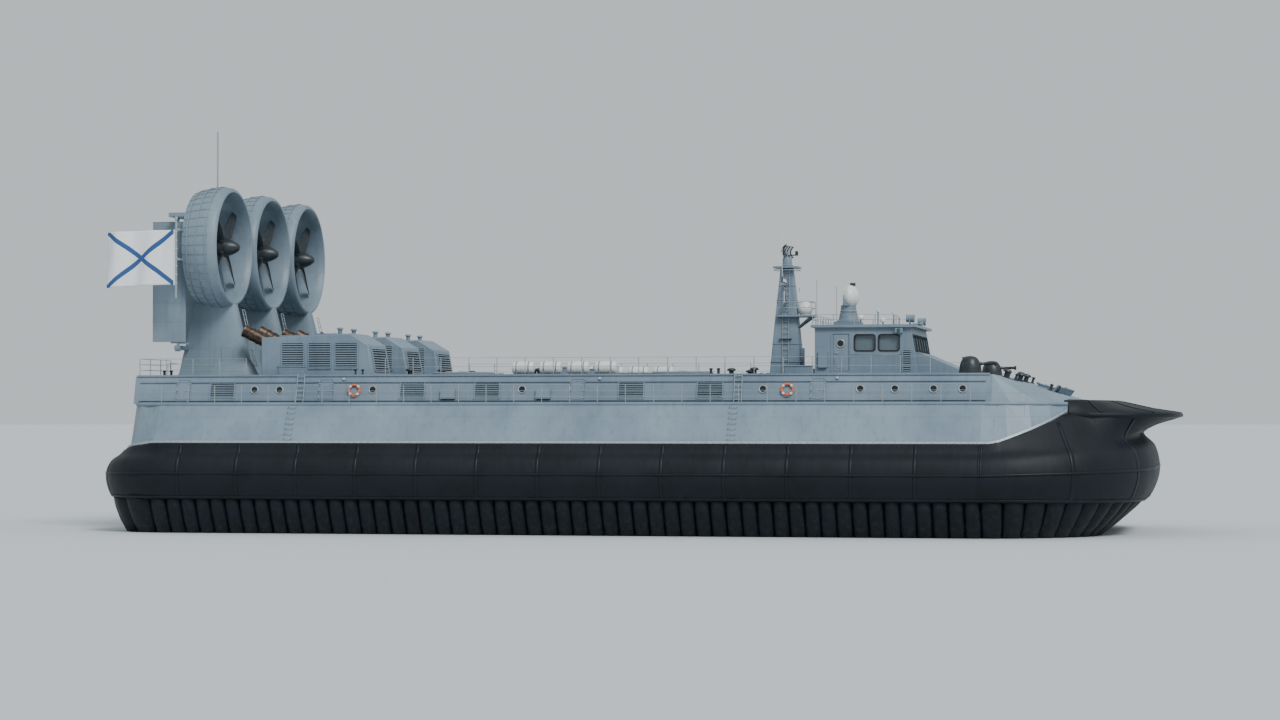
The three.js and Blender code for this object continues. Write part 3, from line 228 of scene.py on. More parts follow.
# Paint or metal in one tone, mottled by handling and weather. grain is the length of a mark in millimetres
def mottled(name, colour, pale, roughness, metallic=0.0, grain=60.0, relief=0.002, stretch=(1, 1, 1)):
    material, tree, shader = newMaterial(name, colour, roughness, metallic)
    place = addNode(tree, "TexCoord").outputs["Object"]
    run = addNode(tree, "Mapping", {"Vector": place, "Scale": stretch})
    mark = {"Vector": run.outputs[0], "Scale": 1000 / grain, "Detail": 6.0, "Roughness": 0.65}
    marks = addNode(tree, "TexNoise", mark)
    tone = addNode(tree, "ValToRGB", {"Fac": marks.outputs[0]}, [(0.3, colour), (0.75, pale)])
    tree.links.new(tone.outputs[0], shader.inputs["Base Color"])
    levels = {"Value": marks.outputs[0], "To Min": max(0.03, roughness - 0.1), "To Max": roughness + 0.14}
    gloss = addNode(tree, "MapRange", levels)
    tree.links.new(gloss.outputs[0], shader.inputs["Roughness"])
    bump = addNode(tree, "Bump", {"Height": marks.outputs[0], "Strength": 0.4, "Distance": relief})
    tree.links.new(bump.outputs[0], shader.inputs["Normal"])
    return material


# Bunting, a plain-woven wool cloth: the flag is white with one thin blue cross from corner to corner, drawn
# on the cloth's own UV map, so that it follows the folds. size and thread are millimetres, half is the half
# width of the cross as a share of the flag
bunting = {"white": "#e9edf0", "blue": "#2f568c", "half": 0.052, "size": (1950, 1500), "thread": 9.0}


def buntingCloth(name):
    material, tree, shader = newMaterial(name, bunting["white"], 0.85)
    cut = addNode(tree, "UVMap", uv_map="cut").outputs[0]
    axes = addNode(tree, "SeparateXYZ", {"Vector": cut})
    across, up = axes.outputs["X"], axes.outputs["Y"]
    rising = addNode(tree, "Math", {0: across, 1: up}, operation="SUBTRACT")
    summed = addNode(tree, "Math", {0: across, 1: up}, operation="ADD")
    falling = addNode(tree, "Math", {0: summed.outputs[0], 1: 1.0}, operation="SUBTRACT")
    near = [addNode(tree, "Math", {0: line.outputs[0]}, operation="ABSOLUTE") for line in (rising, falling)]
    closest = addNode(tree, "Math", {0: near[0].outputs[0], 1: near[1].outputs[0]}, operation="MINIMUM")
    onCross = addNode(tree, "Math", {0: closest.outputs[0], 1: bunting["half"]}, operation="LESS_THAN")
    dye = mixColours(tree, onCross.outputs[0], linear(bunting["white"]), linear(bunting["blue"]))
    place = addNode(tree, "TexCoord").outputs["Object"]
    soil = addNode(tree, "TexNoise", {"Vector": place, "Scale": 4.0, "Detail": 5.0})
    shade = addNode(tree, "ValToRGB", {"Fac": soil.outputs[0]}, [(0.25, 0.42), (0.7, 0.52)])
    used = mixColours(tree, 0.5, dye, shade.outputs[0], "OVERLAY")
    tree.links.new(used, shader.inputs["Base Color"])
    threads = [length / bunting["thread"] for length in bunting["size"]]
    scaled = addNode(tree, "Mapping", {"Vector": cut, "Scale": (*threads, 1)})
    weave = addNode(tree, "TexChecker", {"Vector": scaled.outputs[0], "Scale": 1.0})
    bump = addNode(tree, "Bump", {"Height": weave.outputs["Fac"], "Strength": 0.12, "Distance": 0.002})
    tree.links.new(bump.outputs[0], shader.inputs["Normal"])
    return material


finishes = {
    "hull": marineEnamel(
        "marine enamel, hull sides", "#6a7d8b", "#8496a3", "#4f5e68", walked=("#4e5d67", "#64747e")
    ),
    "duct": marineEnamel("marine enamel, rings and pylons", "#677986", "#7f909c", "#4e5c65"),
    "house": marineEnamel(
        "marine enamel, upper works", "#67798a", "#7f919f", "#4d5b66", walked=("#4e5d67", "#64747e")
    ),
    # Faces athwart the craft take a paler copy of the same enamel: painted sunlight, as if the light fell on
    # the bow and stern faces
    "front": marineEnamel("marine enamel, athwart, paler for painted sunlight", "#788b98", "#93a4b0", "#556571", "XZ"),
    "deck": nonSlipPaint("non-slip deck paint", "#4f5e68", "#6c7c86"),
    "hold": nonSlipPaint("non-slip hold paint", "#4a5358", "#6d777b"),
    "cloth": rubberCloth("rubber-coated nylon"),
    "patch": rubberCloth("rubber-coated nylon, seam tape", 0.42),
    # Red-lead primer under dark semi-gloss enamel: a slight shine, greasy near the moving parts
    "weapon": mottled("dark semi-gloss enamel", "#23292d", "#3a4246", 0.38, 0.2, 70),
    # Anodised aluminium forging, painted black and bared along the leading edge by spray
    "blade": mottled("anodised aluminium blade", "#2b3135", "#4b5358", 0.36, 0.75, 40, 0.001, (1, 1, 0.3)),
    # Glass-fibre moulding with a white gel coat: smooth and glossy, slightly yellowed
    "gelCoat": mottled("white gel coat", "#d4d8d6", "#e6e8e5", 0.28, 0.0, 400, 0.0006),
    # Galvanised steel tube under a thin grey coat
    "rail": mottled("galvanised tube", "#8f9a9f", "#aab3b6", 0.45, 0.35, 50, 0.0008),
    # Stainless sheet blued and sooted by exhaust heat
    "exhaust": mottled("heat-blued stainless steel", "#2a2522", "#6b5b4e", 0.42, 0.9, 90, 0.001),
    # Moulded black EPDM rubber
    "rubber": mottled("moulded black rubber", "#111417", "#24292c", 0.7, 0.0, 25, 0.001),
    # Crackle-finish console casing
    "console": mottled("crackle-finish casing", "#30373b", "#475055", 0.6, 0.0, 8, 0.0008),
    # Bright bare aluminium of grilles and gratings
    "grille": mottled("bare aluminium grating", "#7e878b", "#a7afb2", 0.4, 0.85, 30, 0.0006),
    # Signal-orange polyurethane of lifebuoys
    "buoy": mottled("orange polyurethane skin", "#c9562a", "#d9743f", 0.5, 0.0, 30, 0.001),
    "red": mottled("red lens", "#7a1512", "#9a201a", 0.12, 0.0, 200, 0.0002),
    "green": mottled("green lens", "#0f5a33", "#167a46", 0.12, 0.0, 200, 0.0002),
    "lens": mottled("clear lens glass", "#b9c6cb", "#dfe8ea", 0.08, 0.1, 200, 0.0002),
    "bunting": buntingCloth("wool bunting"),
}
# Laminated window glass with a green-grey tint, 6 mm thick
glazing = {"Transmission Weight": 0.5, "IOR": 1.52}
finishes["glass"] = newMaterial("tinted laminated glass", "#7d929d", 0.05, **glazing)[0]
# Porthole glass over an unlit cabin: opaque and near black, painted shade standing for the dark cabin behind
# it, and it mirrors the sky
finishes["darkGlass"] = newMaterial("porthole glass", "#0d1418", 0.05, IOR=1.52)[0]
print("materials ready")


# Studio: a plain pale floor, a wide soft key light and a pale surround
studio = {
    "floor": "#cdd3d6",
    "radius": 1500,
    "world": "#dfe6ea",
    "worldStrength": 0.85,
    "sunStrength": 2.4,
    "sunSpread": 20,
    "sunFrom": (-0.62, -0.45, 0.72),
}


def makeStudio():
    bm = bmesh.new()
    bmesh.ops.create_circle(bm, cap_ends=True, segments=96, radius=studio["radius"])
    mesh = bpy.data.meshes.new("floor")
    bm.to_mesh(mesh)
    bm.free()
    floor = bpy.data.objects.new("floor", mesh)
    bpy.context.scene.collection.objects.link(floor)
    mesh.materials.append(newMaterial("matt studio floor", studio["floor"], 0.9)[0])
    world = bpy.data.worlds.new("surround")
    world.use_nodes = True
    background = world.node_tree.nodes["Background"]
    background.inputs["Color"].default_value = linear(studio["world"])
    background.inputs["Strength"].default_value = studio["worldStrength"]
    bpy.context.scene.world = world
    light = bpy.data.lights.new("key", "SUN")
    light.energy = studio["sunStrength"]
    light.angle = math.radians(studio["sunSpread"])
    key = bpy.data.objects.new("key", light)
    key.rotation_euler = Vector(studio["sunFrom"]).to_track_quat("Z", "Y").to_euler()
    bpy.context.scene.collection.objects.link(key)


makeStudio()


# Turns a bmesh in craft metres into a piece of the model
def makePiece(name, bm, finish, body="craft", replaces=(), bevel=0.0, angle=35):
    bm.transform(toModel)
    bmesh.ops.recalc_face_normals(bm, faces=bm.faces)
    mesh = bpy.data.meshes.new(name)
    bm.to_mesh(mesh)
    bm.free()
    mesh.shade_smooth()
    mesh.set_sharp_from_angle(angle=math.radians(angle))
    mesh.materials.append(finishes[finish])
    piece = bpy.data.objects.new(name, mesh)
    bpy.context.scene.collection.objects.link(piece)
    if bevel:
        edge = piece.modifiers.new("edges", "BEVEL")
        edge.width = bevel * craft["scale"]
        edge.segments = 2
        edge.limit_method = "ANGLE"
        edge.angle_limit = math.radians(40)
    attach(piece, body)
    if replaces:
        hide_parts(*replaces)
    return piece


# Round tube along each path, as one curve object
def makeTubes(name, paths, radius, finish, body="craft", sides=1, closed=False):
    curve = bpy.data.curves.new(name, "CURVE")
    curve.dimensions = "3D"
    curve.bevel_depth = radius * craft["scale"]
    curve.bevel_resolution = sides
    curve.use_fill_caps = True
    for path in paths:
        spline = curve.splines.new("POLY")
        spline.points.add(len(path) - 1)
        spline.use_cyclic_u = closed
        for point, place in zip(spline.points, path):
            point.co = (*(toModel @ Vector(place)), 1)
    curve.materials.append(finishes[finish])
    piece = bpy.data.objects.new(name, curve)
    bpy.context.scene.collection.objects.link(piece)
    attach(piece, body)
    return piece


# Gives a single skin the thickness of its cloth, in metres of the model
def thicken(piece, thick):
    wall = piece.modifiers.new("cloth", "SOLIDIFY")
    wall.thickness = thick
    wall.offset = 0


# Block between two opposite corners, in any order
def addBlock(bm, start, end, turn=None):
    start, end = Vector(start), Vector(end)
    grow = Matrix.Diagonal((*[abs(side) for side in end - start], 1))
    matrix = Matrix.Translation((start + end) / 2) @ grow
    return bmesh.ops.create_cube(bm, size=1, matrix=(turn @ matrix) if turn else matrix)["verts"]


def addRod(bm, start, end, radius, endRadius=None, sides=12, turn=None):
    start, end = Vector(start), Vector(end)
    lay = (end - start).to_track_quat("Z", "Y").to_matrix().to_4x4()
    matrix = Matrix.Translation((start + end) / 2) @ lay
    return bmesh.ops.create_cone(
        bm,
        cap_ends=True,
        segments=sides,
        radius1=radius,
        radius2=radius if endRadius is None else endRadius,
        depth=(end - start).length,
        matrix=(turn @ matrix) if turn else matrix,
    )["verts"]


# Spins a profile of (radius, height) about the Z axis of the place given
def addLathe(bm, profile, place, sides=48, closed=False):
    verts = [bm.verts.new(place @ Vector((radius, 0, height))) for radius, height in profile]
    edges = [bm.edges.new(pair) for pair in zip(verts, verts[1:] + (verts[:1] if closed else []))]
    axis = place.to_3x3() @ Vector((0, 0, 1))
    before = set(bm.faces)
    bmesh.ops.spin(
        bm,
        geom=verts + edges,
        cent=place.translation,
        axis=axis,
        angle=math.tau,
        steps=sides,
        use_merge=True,
    )
    faces = [face for face in bm.faces if face not in before]
    rim = list({vert for face in faces for vert in face.verts})
    bmesh.ops.remove_doubles(bm, verts=rim, dist=1e-4)
    faces = [face for face in bm.faces if face.is_valid and face not in before]
    bmesh.ops.recalc_face_normals(bm, faces=faces)
    return faces


# Band of square section round an axis
def addBand(bm, inner, outer, low, high, place, sides):
    section = [(inner, low), (outer, low), (outer, high), (inner, high)]
    addLathe(bm, section, place, sides=sides, closed=True)


# A skin drawn through rows of points: the first row is extruded on and moved, row after row
def sweepRows(bm, rows, closed=False, caps=False):
    line = [bm.verts.new(point) for point in rows[0]]
    front = [bm.edges.new(pair) for pair in zip(line, line[1:] + (line[:1] if closed else []))]
    first = list(front)
    faces = []
    for row in rows[1:]:
        grown = bmesh.ops.extrude_edge_only(bm, edges=front)["geom"]
        fresh = {part for part in grown if isinstance(part, bmesh.types.BMVert)}
        faces += [part for part in grown if isinstance(part, bmesh.types.BMFace)]
        line = [
            next(edge.other_vert(vert) for edge in vert.link_edges if edge.other_vert(vert) in fresh)
            for vert in line
        ]
        front = [
            part
            for part in grown
            if isinstance(part, bmesh.types.BMEdge) and part.verts[0] in fresh and part.verts[1] in fresh
        ]
        for vert, point in zip(line, row):
            vert.co = point
    if caps:
        faces += bmesh.ops.holes_fill(bm, edges=first + front, sides=0)["faces"]
    bmesh.ops.recalc_face_normals(bm, faces=faces)
    return faces


# Smooth line through (out, up) points
def smoothLine(points, steps):
    line = [Vector(points[0])]
    for i in range(len(points) - 1):
        start, end = Vector(points[i]), Vector(points[i + 1])
        before = Vector(points[max(i - 1, 0)])
        after = Vector(points[min(i + 2, len(points) - 1)])
        line += interpolate_bezier(
            start, start + (end - before) / 6, end - (after - start) / 6, end, steps + 1
        )[1:]
    return [point.to_2d() for point in line]


# A place on a wall: X runs along it, Y up it and Z out of it. lean is how far it leans back, in degrees
def onWall(spot, outward, lean=0.0):
    out = Vector((*outward, 0))
    tilt = math.radians(lean)
    up = Vector((0, 0, math.cos(tilt))) - out * math.sin(tilt)
    away = out * math.cos(tilt) + Vector((0, 0, math.sin(tilt)))
    return Matrix.Translation(spot) @ Matrix((up.cross(away), up, away)).transposed().to_4x4()


# Corners of a rectangle with round corners, each with its direction outwards
def roundedLine(width, height, radius, steps=3):
    line = []
    for x, y, first in ((1, 1, 0), (-1, 1, 90), (-1, -1, 180), (1, -1, 270)):
        for i in range(steps + 1):
            angle = math.radians(first + 90 * i / steps)
            out = Vector((math.cos(angle), math.sin(angle)))
            line.append((Vector((x * (width / 2 - radius), y * (height / 2 - radius))) + out * radius, out))
    return line


# Flat plate with round corners, standing out from its place
def addPlate(bm, place, width, height, thick, radius=0.06):
    line = roundedLine(width, height, radius)
    sweepRows(
        bm, [[place @ Vector((*spot, z)) for spot, _ in line] for z in (0, thick)], closed=True, caps=True
    )


# Frame of square bar round an opening with round corners
def addFrame(bm, place, width, height, bar, thick, radius=0.08):
    rows = []
    for spot, out in roundedLine(width, height, radius):
        ring = [(*spot, 0), (*spot, thick), (*(spot + out * bar), thick), (*(spot + out * bar), 0)]
        rows.append([place @ Vector(corner) for corner in ring])
    sweepRows(bm, [*rows, rows[0]], closed=True)


# Weathertight door: a pressed plate with its coaming, dogs down both edges and hinges down one
def addDoor(plates, metal, place, width, height):
    addPlate(plates, place, width, height, 0.045, 0.12)
    addPlate(plates, place, width - 0.22, height - 0.22, 0.065, 0.08)
    addFrame(plates, place, width + 0.05, height + 0.05, 0.045, 0.035, 0.14)
    for share in (-0.34, 0, 0.34):
        for side in (-1, 1):
            x, y = side * (width / 2 - 0.02), share * height
            addBlock(metal, (x - 0.07, y - 0.02, 0.04), (x + 0.07, y + 0.02, 0.075), place)
        x, y = -width / 2 - 0.03, share * height
        addRod(metal, (x, y + 0.06, 0.05), (x, y + 0.18, 0.05), 0.025, sides=10, turn=place)
    addRod(metal, (width / 2 - 0.16, 0, 0.1), (width / 2 - 0.3, 0, 0.1), 0.016, sides=8, turn=place)


def addPorthole(rim, pane, place, radius):
    outside = radius + 0.06
    section = [(radius, 0), (outside, 0), (outside, 0.03), (radius + 0.03, 0.05), (radius, 0.04)]
    addLathe(rim, section, place, sides=28, closed=True)
    addLathe(pane, [(0, 0.012), (radius, 0.012), (radius, 0.02), (0, 0.024)], place, sides=28)
    for i in range(6):
        spoke = place @ Matrix.Rotation(math.tau * (i + 0.5) / 6, 4, "Z")
        addRod(rim, (radius + 0.045, 0, 0.03), (radius + 0.045, 0, 0.06), 0.012, sides=6, turn=spoke)


# The dark mesh takes a black sheet behind the slats: painted shade standing for the unlit opening behind
# them, given the black rubber finish
def addLouvre(frames, slats, dark, place, width, height, count):
    addFrame(frames, place, width, height, 0.06, 0.06, 0.02)
    addBlock(dark, (-width / 2, -height / 2, 0), (width / 2, height / 2, 0.012), place)
    for i in range(count):
        y = mix(-height / 2, height / 2, (i + 0.5) / count)
        tilt = place @ Matrix.Translation((0, y, 0.034)) @ Matrix.Rotation(math.radians(-42), 4, "X")
        addBlock(slats, (-width / 2, -0.042, -0.008), (width / 2, 0.042, 0.008), tilt)


# Plan of the raft's edge, which the skirt follows
plan = {
    "bow": 3.8,
    "stern": 55.8,
    "half": 10.0,
    "bowCentre": (4.0, 9.8),
    "bowRadius": 6.0,
    "sternCentre": (8.0, 53.8),
    "sternRadius": 2.0,
}
bowStraight = plan["bowCentre"][0]
sideStart = bowStraight + plan["bowRadius"] * math.pi / 2
sideEnd = sideStart + plan["sternCentre"][1] - plan["bowCentre"][1]
sternStraight = sideEnd + plan["sternRadius"] * math.pi / 2
halfWay = sternStraight + plan["sternCentre"][0]
apronEnd = bowStraight + math.radians(50) * plan["bowRadius"]


# Where a walk along the raft's edge from the middle of the bow has come to: edge, outward direction, and
# the turns of the bow corner (90 ahead to 0 abeam) and of the stern corner (0 abeam to 90 astern)
def edgeAt(distance):
    if distance < 0 or distance > halfWay:
        edge, outward, bowTurn, sternTurn = edgeAt(-distance if distance < 0 else 2 * halfWay - distance)
        return Vector((-edge.x, edge.y)), Vector((-outward.x, outward.y)), bowTurn, sternTurn
    if distance < bowStraight:
        return Vector((distance, plan["bow"])), Vector((0, -1)), 90, 0
    if distance < sideStart:
        turn = 90 - math.degrees((distance - bowStraight) / plan["bowRadius"])
        outward = Vector((math.cos(math.radians(turn)), -math.sin(math.radians(turn))))
        return Vector(plan["bowCentre"]) + outward * plan["bowRadius"], outward, turn, 0
    if distance < sideEnd:
        return Vector((plan["half"], plan["bowCentre"][1] + distance - sideStart)), Vector((1, 0)), 0, 0
    if distance < sternStraight:
        turn = math.degrees((distance - sideEnd) / plan["sternRadius"])
        outward = Vector((math.cos(math.radians(turn)), math.sin(math.radians(turn))))
        return Vector(plan["sternCentre"]) + outward * plan["sternRadius"], outward, 0, turn
    return Vector((halfWay - distance, plan["stern"])), Vector((0, 1)), 0, 90


def offEdge(distance, out, up, side=1):
    edge, outward, _, _ = edgeAt(distance)
    spot = edge + outward * out
    return Vector((side * spot.x, spot.y, up))


# Hull outside the raft's edge, as (out, up) of the knuckle that the skirt hangs from, and out of the deck
# edge
def hullEdge(distance):
    _, _, bowTurn, sternTurn = edgeAt(distance)
    if sternTurn:
        share = sternTurn / 90
        return mix(2.0, 0, share), mix(4.8, 4.2, share), mix(0.9, 0, share)
    share = min(max((bowTurn - 5) / 35, 0), 1)
    return mix(2.0, 0.6, share), mix(4.8, 6.5, share), mix(0.9, 0.6, share)


# Bow apron; reach is how far it lies in over the deck and reaches out, at each turn of the bow
apron = {
    "reach": {
        40: (0.3, 0.75),
        50: (-0.6, 1.35),
        60: (-1.05, 2.2),
        70: (-1.25, 3.0),
        80: (-1.3, 3.55),
        90: (-1.3, 3.8),
    },
    "strips": 56,
    "seamEvery": 6,
    "seamHalf": 0.06,
    "tape": 0.012,
}


def apronReach(turn):
    if turn < 40:
        return None
    step = min(int(turn // 10) * 10, 80)
    near, far = apron["reach"][step], apron["reach"][step + 10]
    return [mix(near[i], far[i], (turn - step) / 10) for i in (0, 1)]


# Skirt: (out, up) from the raft's edge at the side, the bow and the stern
skirt = {
    "bag": [
        ((2.25, 4.35), (1.7, 5.5), (0.55, 4.02)),
        ((2.62, 3.95), (2.25, 4.7), (1.1, 3.75)),
        ((2.8, 3.4), (2.5, 3.8), (1.45, 3.3)),
        ((2.8, 2.8), (2.48, 3.0), (1.5, 2.8)),
        ((2.62, 2.25), (2.2, 2.2), (1.38, 2.25)),
        ((2.45, 1.9), (1.95, 1.8), (1.2, 1.9)),
    ],
    "hem": ((1.35, 0), (-0.35, 0), (0.55, 0)),
    "hemInside": ((1.15, 0), (-0.55, 0), (0.35, 0)),
    "topInside": ((0.6, 1.5), (0.35, 1.5), (0.3, 1.5)),
    "swell": 0.05,  # how far the cloth swells between two seams
    "steps": 5,
    "bands": ((16, 18, 0.062), (28, 31, 0.03)),  # tapes along the bag: first and last point, and lift
    "fingerSwell": 0.3,
    "fingerArc": 78,
    "fingerCloth": 0.014,
    "tape": 0.01,
    "bowHalf": 3.3,  # half widths of the pieces that fold under the ramps
    "sternHalf": 2.9,
}


def skirtPoint(row, distance):
    _, _, bowTurn, sternTurn = edgeAt(distance)
    end, share = (2, sternTurn / 90) if sternTurn else (1, bowTurn / 90)
    return Vector((mix(row[0][0], row[end][0], share), mix(row[0][1], row[end][1], share)))


def bagLine(distance, gap=0.0):
    _, _, bowTurn, _ = edgeAt(distance)
    knuckleOut, knuckleUp, _ = hullEdge(distance)
    reach = apronReach(bowTurn)
    lip = Vector((knuckleOut + 0.12 + gap, knuckleUp - 0.01))
    if reach:
        share = min(max((bowTurn - 40) / 6, 0), 1)
        lip = Vector((max(reach[1] - 0.03, lip.x), mix(lip.y, 6.2, share)))
    return smoothLine([lip, *[skirtPoint(row, distance) for row in skirt["bag"]]], skirt["steps"])


# The whole closed section of the bag; "swell" pushes its outside out
def bagSection(distance, swell, gap=0.0):
    knuckleOut, knuckleUp, _ = hullEdge(distance)
    line = bagLine(distance, gap)
    count = len(line) - 1
    section = [(point.x, point.y) for point in line]
    for i in range(1, count):
        section[i] = (line[i].x + swell * math.sin(math.pi * i / count) ** 0.7, line[i].y)
    top = (knuckleOut + 0.02 + gap, knuckleUp - 0.03)
    low = tuple(skirtPoint(skirt["topInside"], distance))
    return [*section, low, (0.01, 1.62), (0.01, 3.27), (0.32 + gap, 3.27), top]


# Distances along the edge, close together beside each seam; each module is one panel of cloth
def panelWalk(start, end, modules):
    length = (end - start) / modules
    steps = [0, 0.035, 0.12, 0.28, 0.5, 0.72, 0.88, 0.965]
    walk = [(start + (i + share) * length, share) for i in range(modules) for share in steps]
    return [*walk, (end, 0)]


# Pieces of the skirt, from and to a distance along the edge; fold names the ramp over a piece and the
# share of its height that is left when that ramp presses it flat. This script reads only whether a piece has
# a fold, and then writes that piece's modifiers into its own mesh
bowEnd, sternEnd = skirt["bowHalf"], halfWay - skirt["sternHalf"]
bowPart = {"from": bowEnd, "to": sideStart, "panels": 3, "fingers": 12}
sidePart = {"from": sideStart, "to": sternEnd, "panels": 16, "fingers": 64}
endPart = {"side": 1, "panels": 2, "fingers": 8}
skirtParts = [
    {
        **endPart,
        "name": "skirt_bow_centre",
        "from": -bowEnd,
        "to": bowEnd,
        "fold": ("bow_ramp_hinge", 0.15),
    },
    {**bowPart, "name": "skirt_bow_port", "side": 1},
    {**bowPart, "name": "skirt_bow_starboard", "side": -1},
    {**sidePart, "name": "skirt_port", "side": 1},
    {**sidePart, "name": "skirt_starboard", "side": -1},
    {
        **endPart,
        "name": "skirt_stern_centre",
        "from": sternEnd,
        "to": halfWay + skirt["sternHalf"],
        "gap": 0.3,
        "fold": ("stern_ramp_hinge", 0.45),
    },
]


def addFinger(bm, part, middle, width):
    grid = bmesh.ops.create_grid(bm, x_segments=8, y_segments=3, size=0.5)["verts"]
    root = skirtPoint(skirt["bag"][-1], middle) + Vector((-0.03, 0.12))
    hem = skirtPoint(skirt["hem"], middle)
    insideTop = skirtPoint(skirt["topInside"], middle) + Vector((0.1, 0.08))
    insideHem = skirtPoint(skirt["hemInside"], middle)
    arc = math.radians(skirt["fingerArc"])
    for vert in grid:
        column, down = round((vert.co.x + 0.5) * 8), 0.5 - vert.co.y
        turn = max(min((column - 4) / 3, 1), -1) * arc
        across = 0.485 * width * math.sin(turn) / math.sin(arc)
        face = root.lerp(hem, down)
        if column in (0, 8):
            face = insideTop.lerp(insideHem, down)
        else:
            face.x += 0.13 * math.sin(math.pi * down) - skirt["fingerSwell"] * (1 - math.cos(turn))
        vert.co = offEdge(middle + across, face.x, max(face.y, 0.02), part["side"])


def makeSkirt():
    for part in skirtParts:
        name, side, gap = part["name"], part["side"], part.get("gap", 0.0)
        start, end = part["from"], part["to"]
        bm = bmesh.new()
        rows = []
        for d, share in panelWalk(start, end, part["panels"]):
            swell = skirt["swell"] * (1 - (2 * share - 1) ** 4) if share else 0
            rows.append([offEdge(d, out, up, side) for out, up in bagSection(d, swell, gap)])
        sweepRows(bm, rows, closed=True, caps=True)
        bag = makePiece(name + "_bag", bm, "cloth", replaces=[name], angle=50)
        width = (end - start) / part["fingers"]
        bm = bmesh.new()
        for i in range(part["fingers"]):
            addFinger(bm, part, start + (i + 0.5) * width, width)
        fingers = makePiece(name + "_fingers", bm, "cloth", angle=60)
        thicken(fingers, skirt["fingerCloth"])
        bm = bmesh.new()
        length = (end - start) / part["panels"]
        for i in range(part["panels"] + 1):
            seam = start + i * length
            stops = sorted({max(seam - 0.09, start), seam, min(seam + 0.09, end)})
            line = bagLine(seam, gap)[1:]
            sweepRows(bm, [[offEdge(d, p.x + 0.014, p.y, side) for p in line] for d in stops])
        walk = [d for d, _ in panelWalk(start, end, part["panels"] * 2)]
        for first, last, lift in skirt["bands"]:
            sweepRows(
                bm, [[offEdge(d, p.x + lift, p.y, side) for p in bagLine(d, gap)[first:last]] for d in walk]
            )
        tapes = makePiece(name + "_tapes", bm, "patch", angle=60)
        thicken(tapes, skirt["tape"])
        if "fold" in part:
            for piece in (bag, fingers, tapes):
                if piece.modifiers:
                    applyModifiers(piece)
                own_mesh(piece)


# Writes a piece's modifiers into its mesh
def applyModifiers(piece):
    graph = bpy.context.evaluated_depsgraph_get()
    solid = bpy.data.meshes.new_from_object(piece.evaluated_get(graph))
    piece.modifiers.clear()
    piece.data = solid


makeSkirt()
print("skirt made")


def makeApron():
    count = apron["strips"]
    walk = [mix(-apronEnd, apronEnd, i / count) for i in range(count + 1)]

    def section(distance):
        inner, tip = apronReach(max(edgeAt(distance)[2], 40.0))
        middle = mix(0.6, tip, 0.5)
        under = [(inner, 6.905), (0.6, 6.905), (0.62, 6.52), (middle, 6.37), (tip - 0.08, 6.22)]
        lip = [(tip + 0.01, 6.2), (tip + 0.05, 6.27), (tip + 0.04, 6.37), (tip - 0.04, 6.44)]
        top = [(middle, 6.68), (mix(0.6, middle, 0.4), 6.9), (0.6, 7.04), (inner, 7.07)]
        return under + lip + top

    bm = bmesh.new()
    sweepRows(bm, [[offEdge(d, *spot) for spot in section(d)] for d in walk], closed=True, caps=True)
    makePiece("bow_apron_cover", bm, "cloth", replaces=["bow_apron"], angle=40)
    bm = bmesh.new()
    for seam in walk[4 : count - 3 : apron["seamEvery"]]:
        top = section(seam)[8:]
        edges = (seam - apron["seamHalf"], seam + apron["seamHalf"])
        sweepRows(bm, [[offEdge(d, out, up + apron["tape"]) for out, up in top] for d in edges])
    inner = {d: section(d)[12][0] for d in walk[2:-2]}
    sweepRows(bm, [[offEdge(d, out + width, 7.085) for width in (0.0, 0.22)] for d, out in inner.items()])
    thicken(makePiece("bow_apron_tapes", bm, "patch"), apron["tape"])
    bm = bmesh.new()
    for d, out in inner.items():
        addRod(bm, offEdge(d, out + 0.11, 7.09), offEdge(d, out + 0.11, 7.13), 0.035, sides=8)
    makePiece("bow_apron_bolts", bm, "rail")
    bm = bmesh.new()
    addBlock(bm, (-3.19, 3.0, 6.5), (3.19, 5.1, 6.9))
    makePiece("bow_lintel", bm, "front", bevel=0.03)


# Outline of a streamlined post as (across, along), nose first
def wingLine(chord, thick, steps=3):
    half = [(0, 0), (0.3 * thick, 0.035 * chord), (0.46 * thick, 0.14 * chord), (0.5 * thick, 0.3 * chord)]
    half += [(0.36 * thick, 0.62 * chord), (0.05 * thick, chord)]
    line = smoothLine(half, steps)
    return [tuple(p) for p in line] + [(-p.x, p.y) for p in reversed(line[1:])]


# Rings, as (radius, aft) round the section; vanes are angles from abeam
propulsion = {
    "ports": {"port": 6.9, "centre": 0.0, "starboard": -6.9},
    "up": 15.5,
    "ring": [
        (2.87, 51.75), (2.885, 51.4), (2.94, 51.14), (3.04, 51.01), (3.16, 51.02), (3.26, 51.16),
        (3.3, 51.42), (3.28, 51.9), (3.18, 52.45), (3.04, 53.0), (2.95, 53.0), (2.9, 52.5), (2.87, 52.0),
    ],
    "hub": [
        (0, 51.96), (0.4, 51.96), (0.46, 51.99), (0.49, 52.15), (0.5, 52.3), (0.47, 52.6), (0.38, 52.9),
        (0.22, 53.1), (0.08, 53.19), (0, 53.2),
    ],
    "hoops": (51.62, 52.15, 52.7),
    "stringers": 40,
    "vanes": (90, 18, 162, -54, -126),
    "disc": 51.65,  # where the propellers turn
    "beam": (52.85, 53.6, 53.9),  # fore end of the arms, fore face and after face of the crossbar
    "beamUp": (17.05, 17.29),
}
ringAxis = Matrix.Rotation(-math.pi / 2, 4, "X")  # turns a profile's height to lie aft


def ringRadius(aft):
    outside = propulsion["ring"][6:10]
    for (r0, a0), (r1, a1) in zip(outside, outside[1:]):
        if aft <= a1:
            return mix(r0, r1, (aft - a0) / (a1 - a0))
    return outside[-1][0]


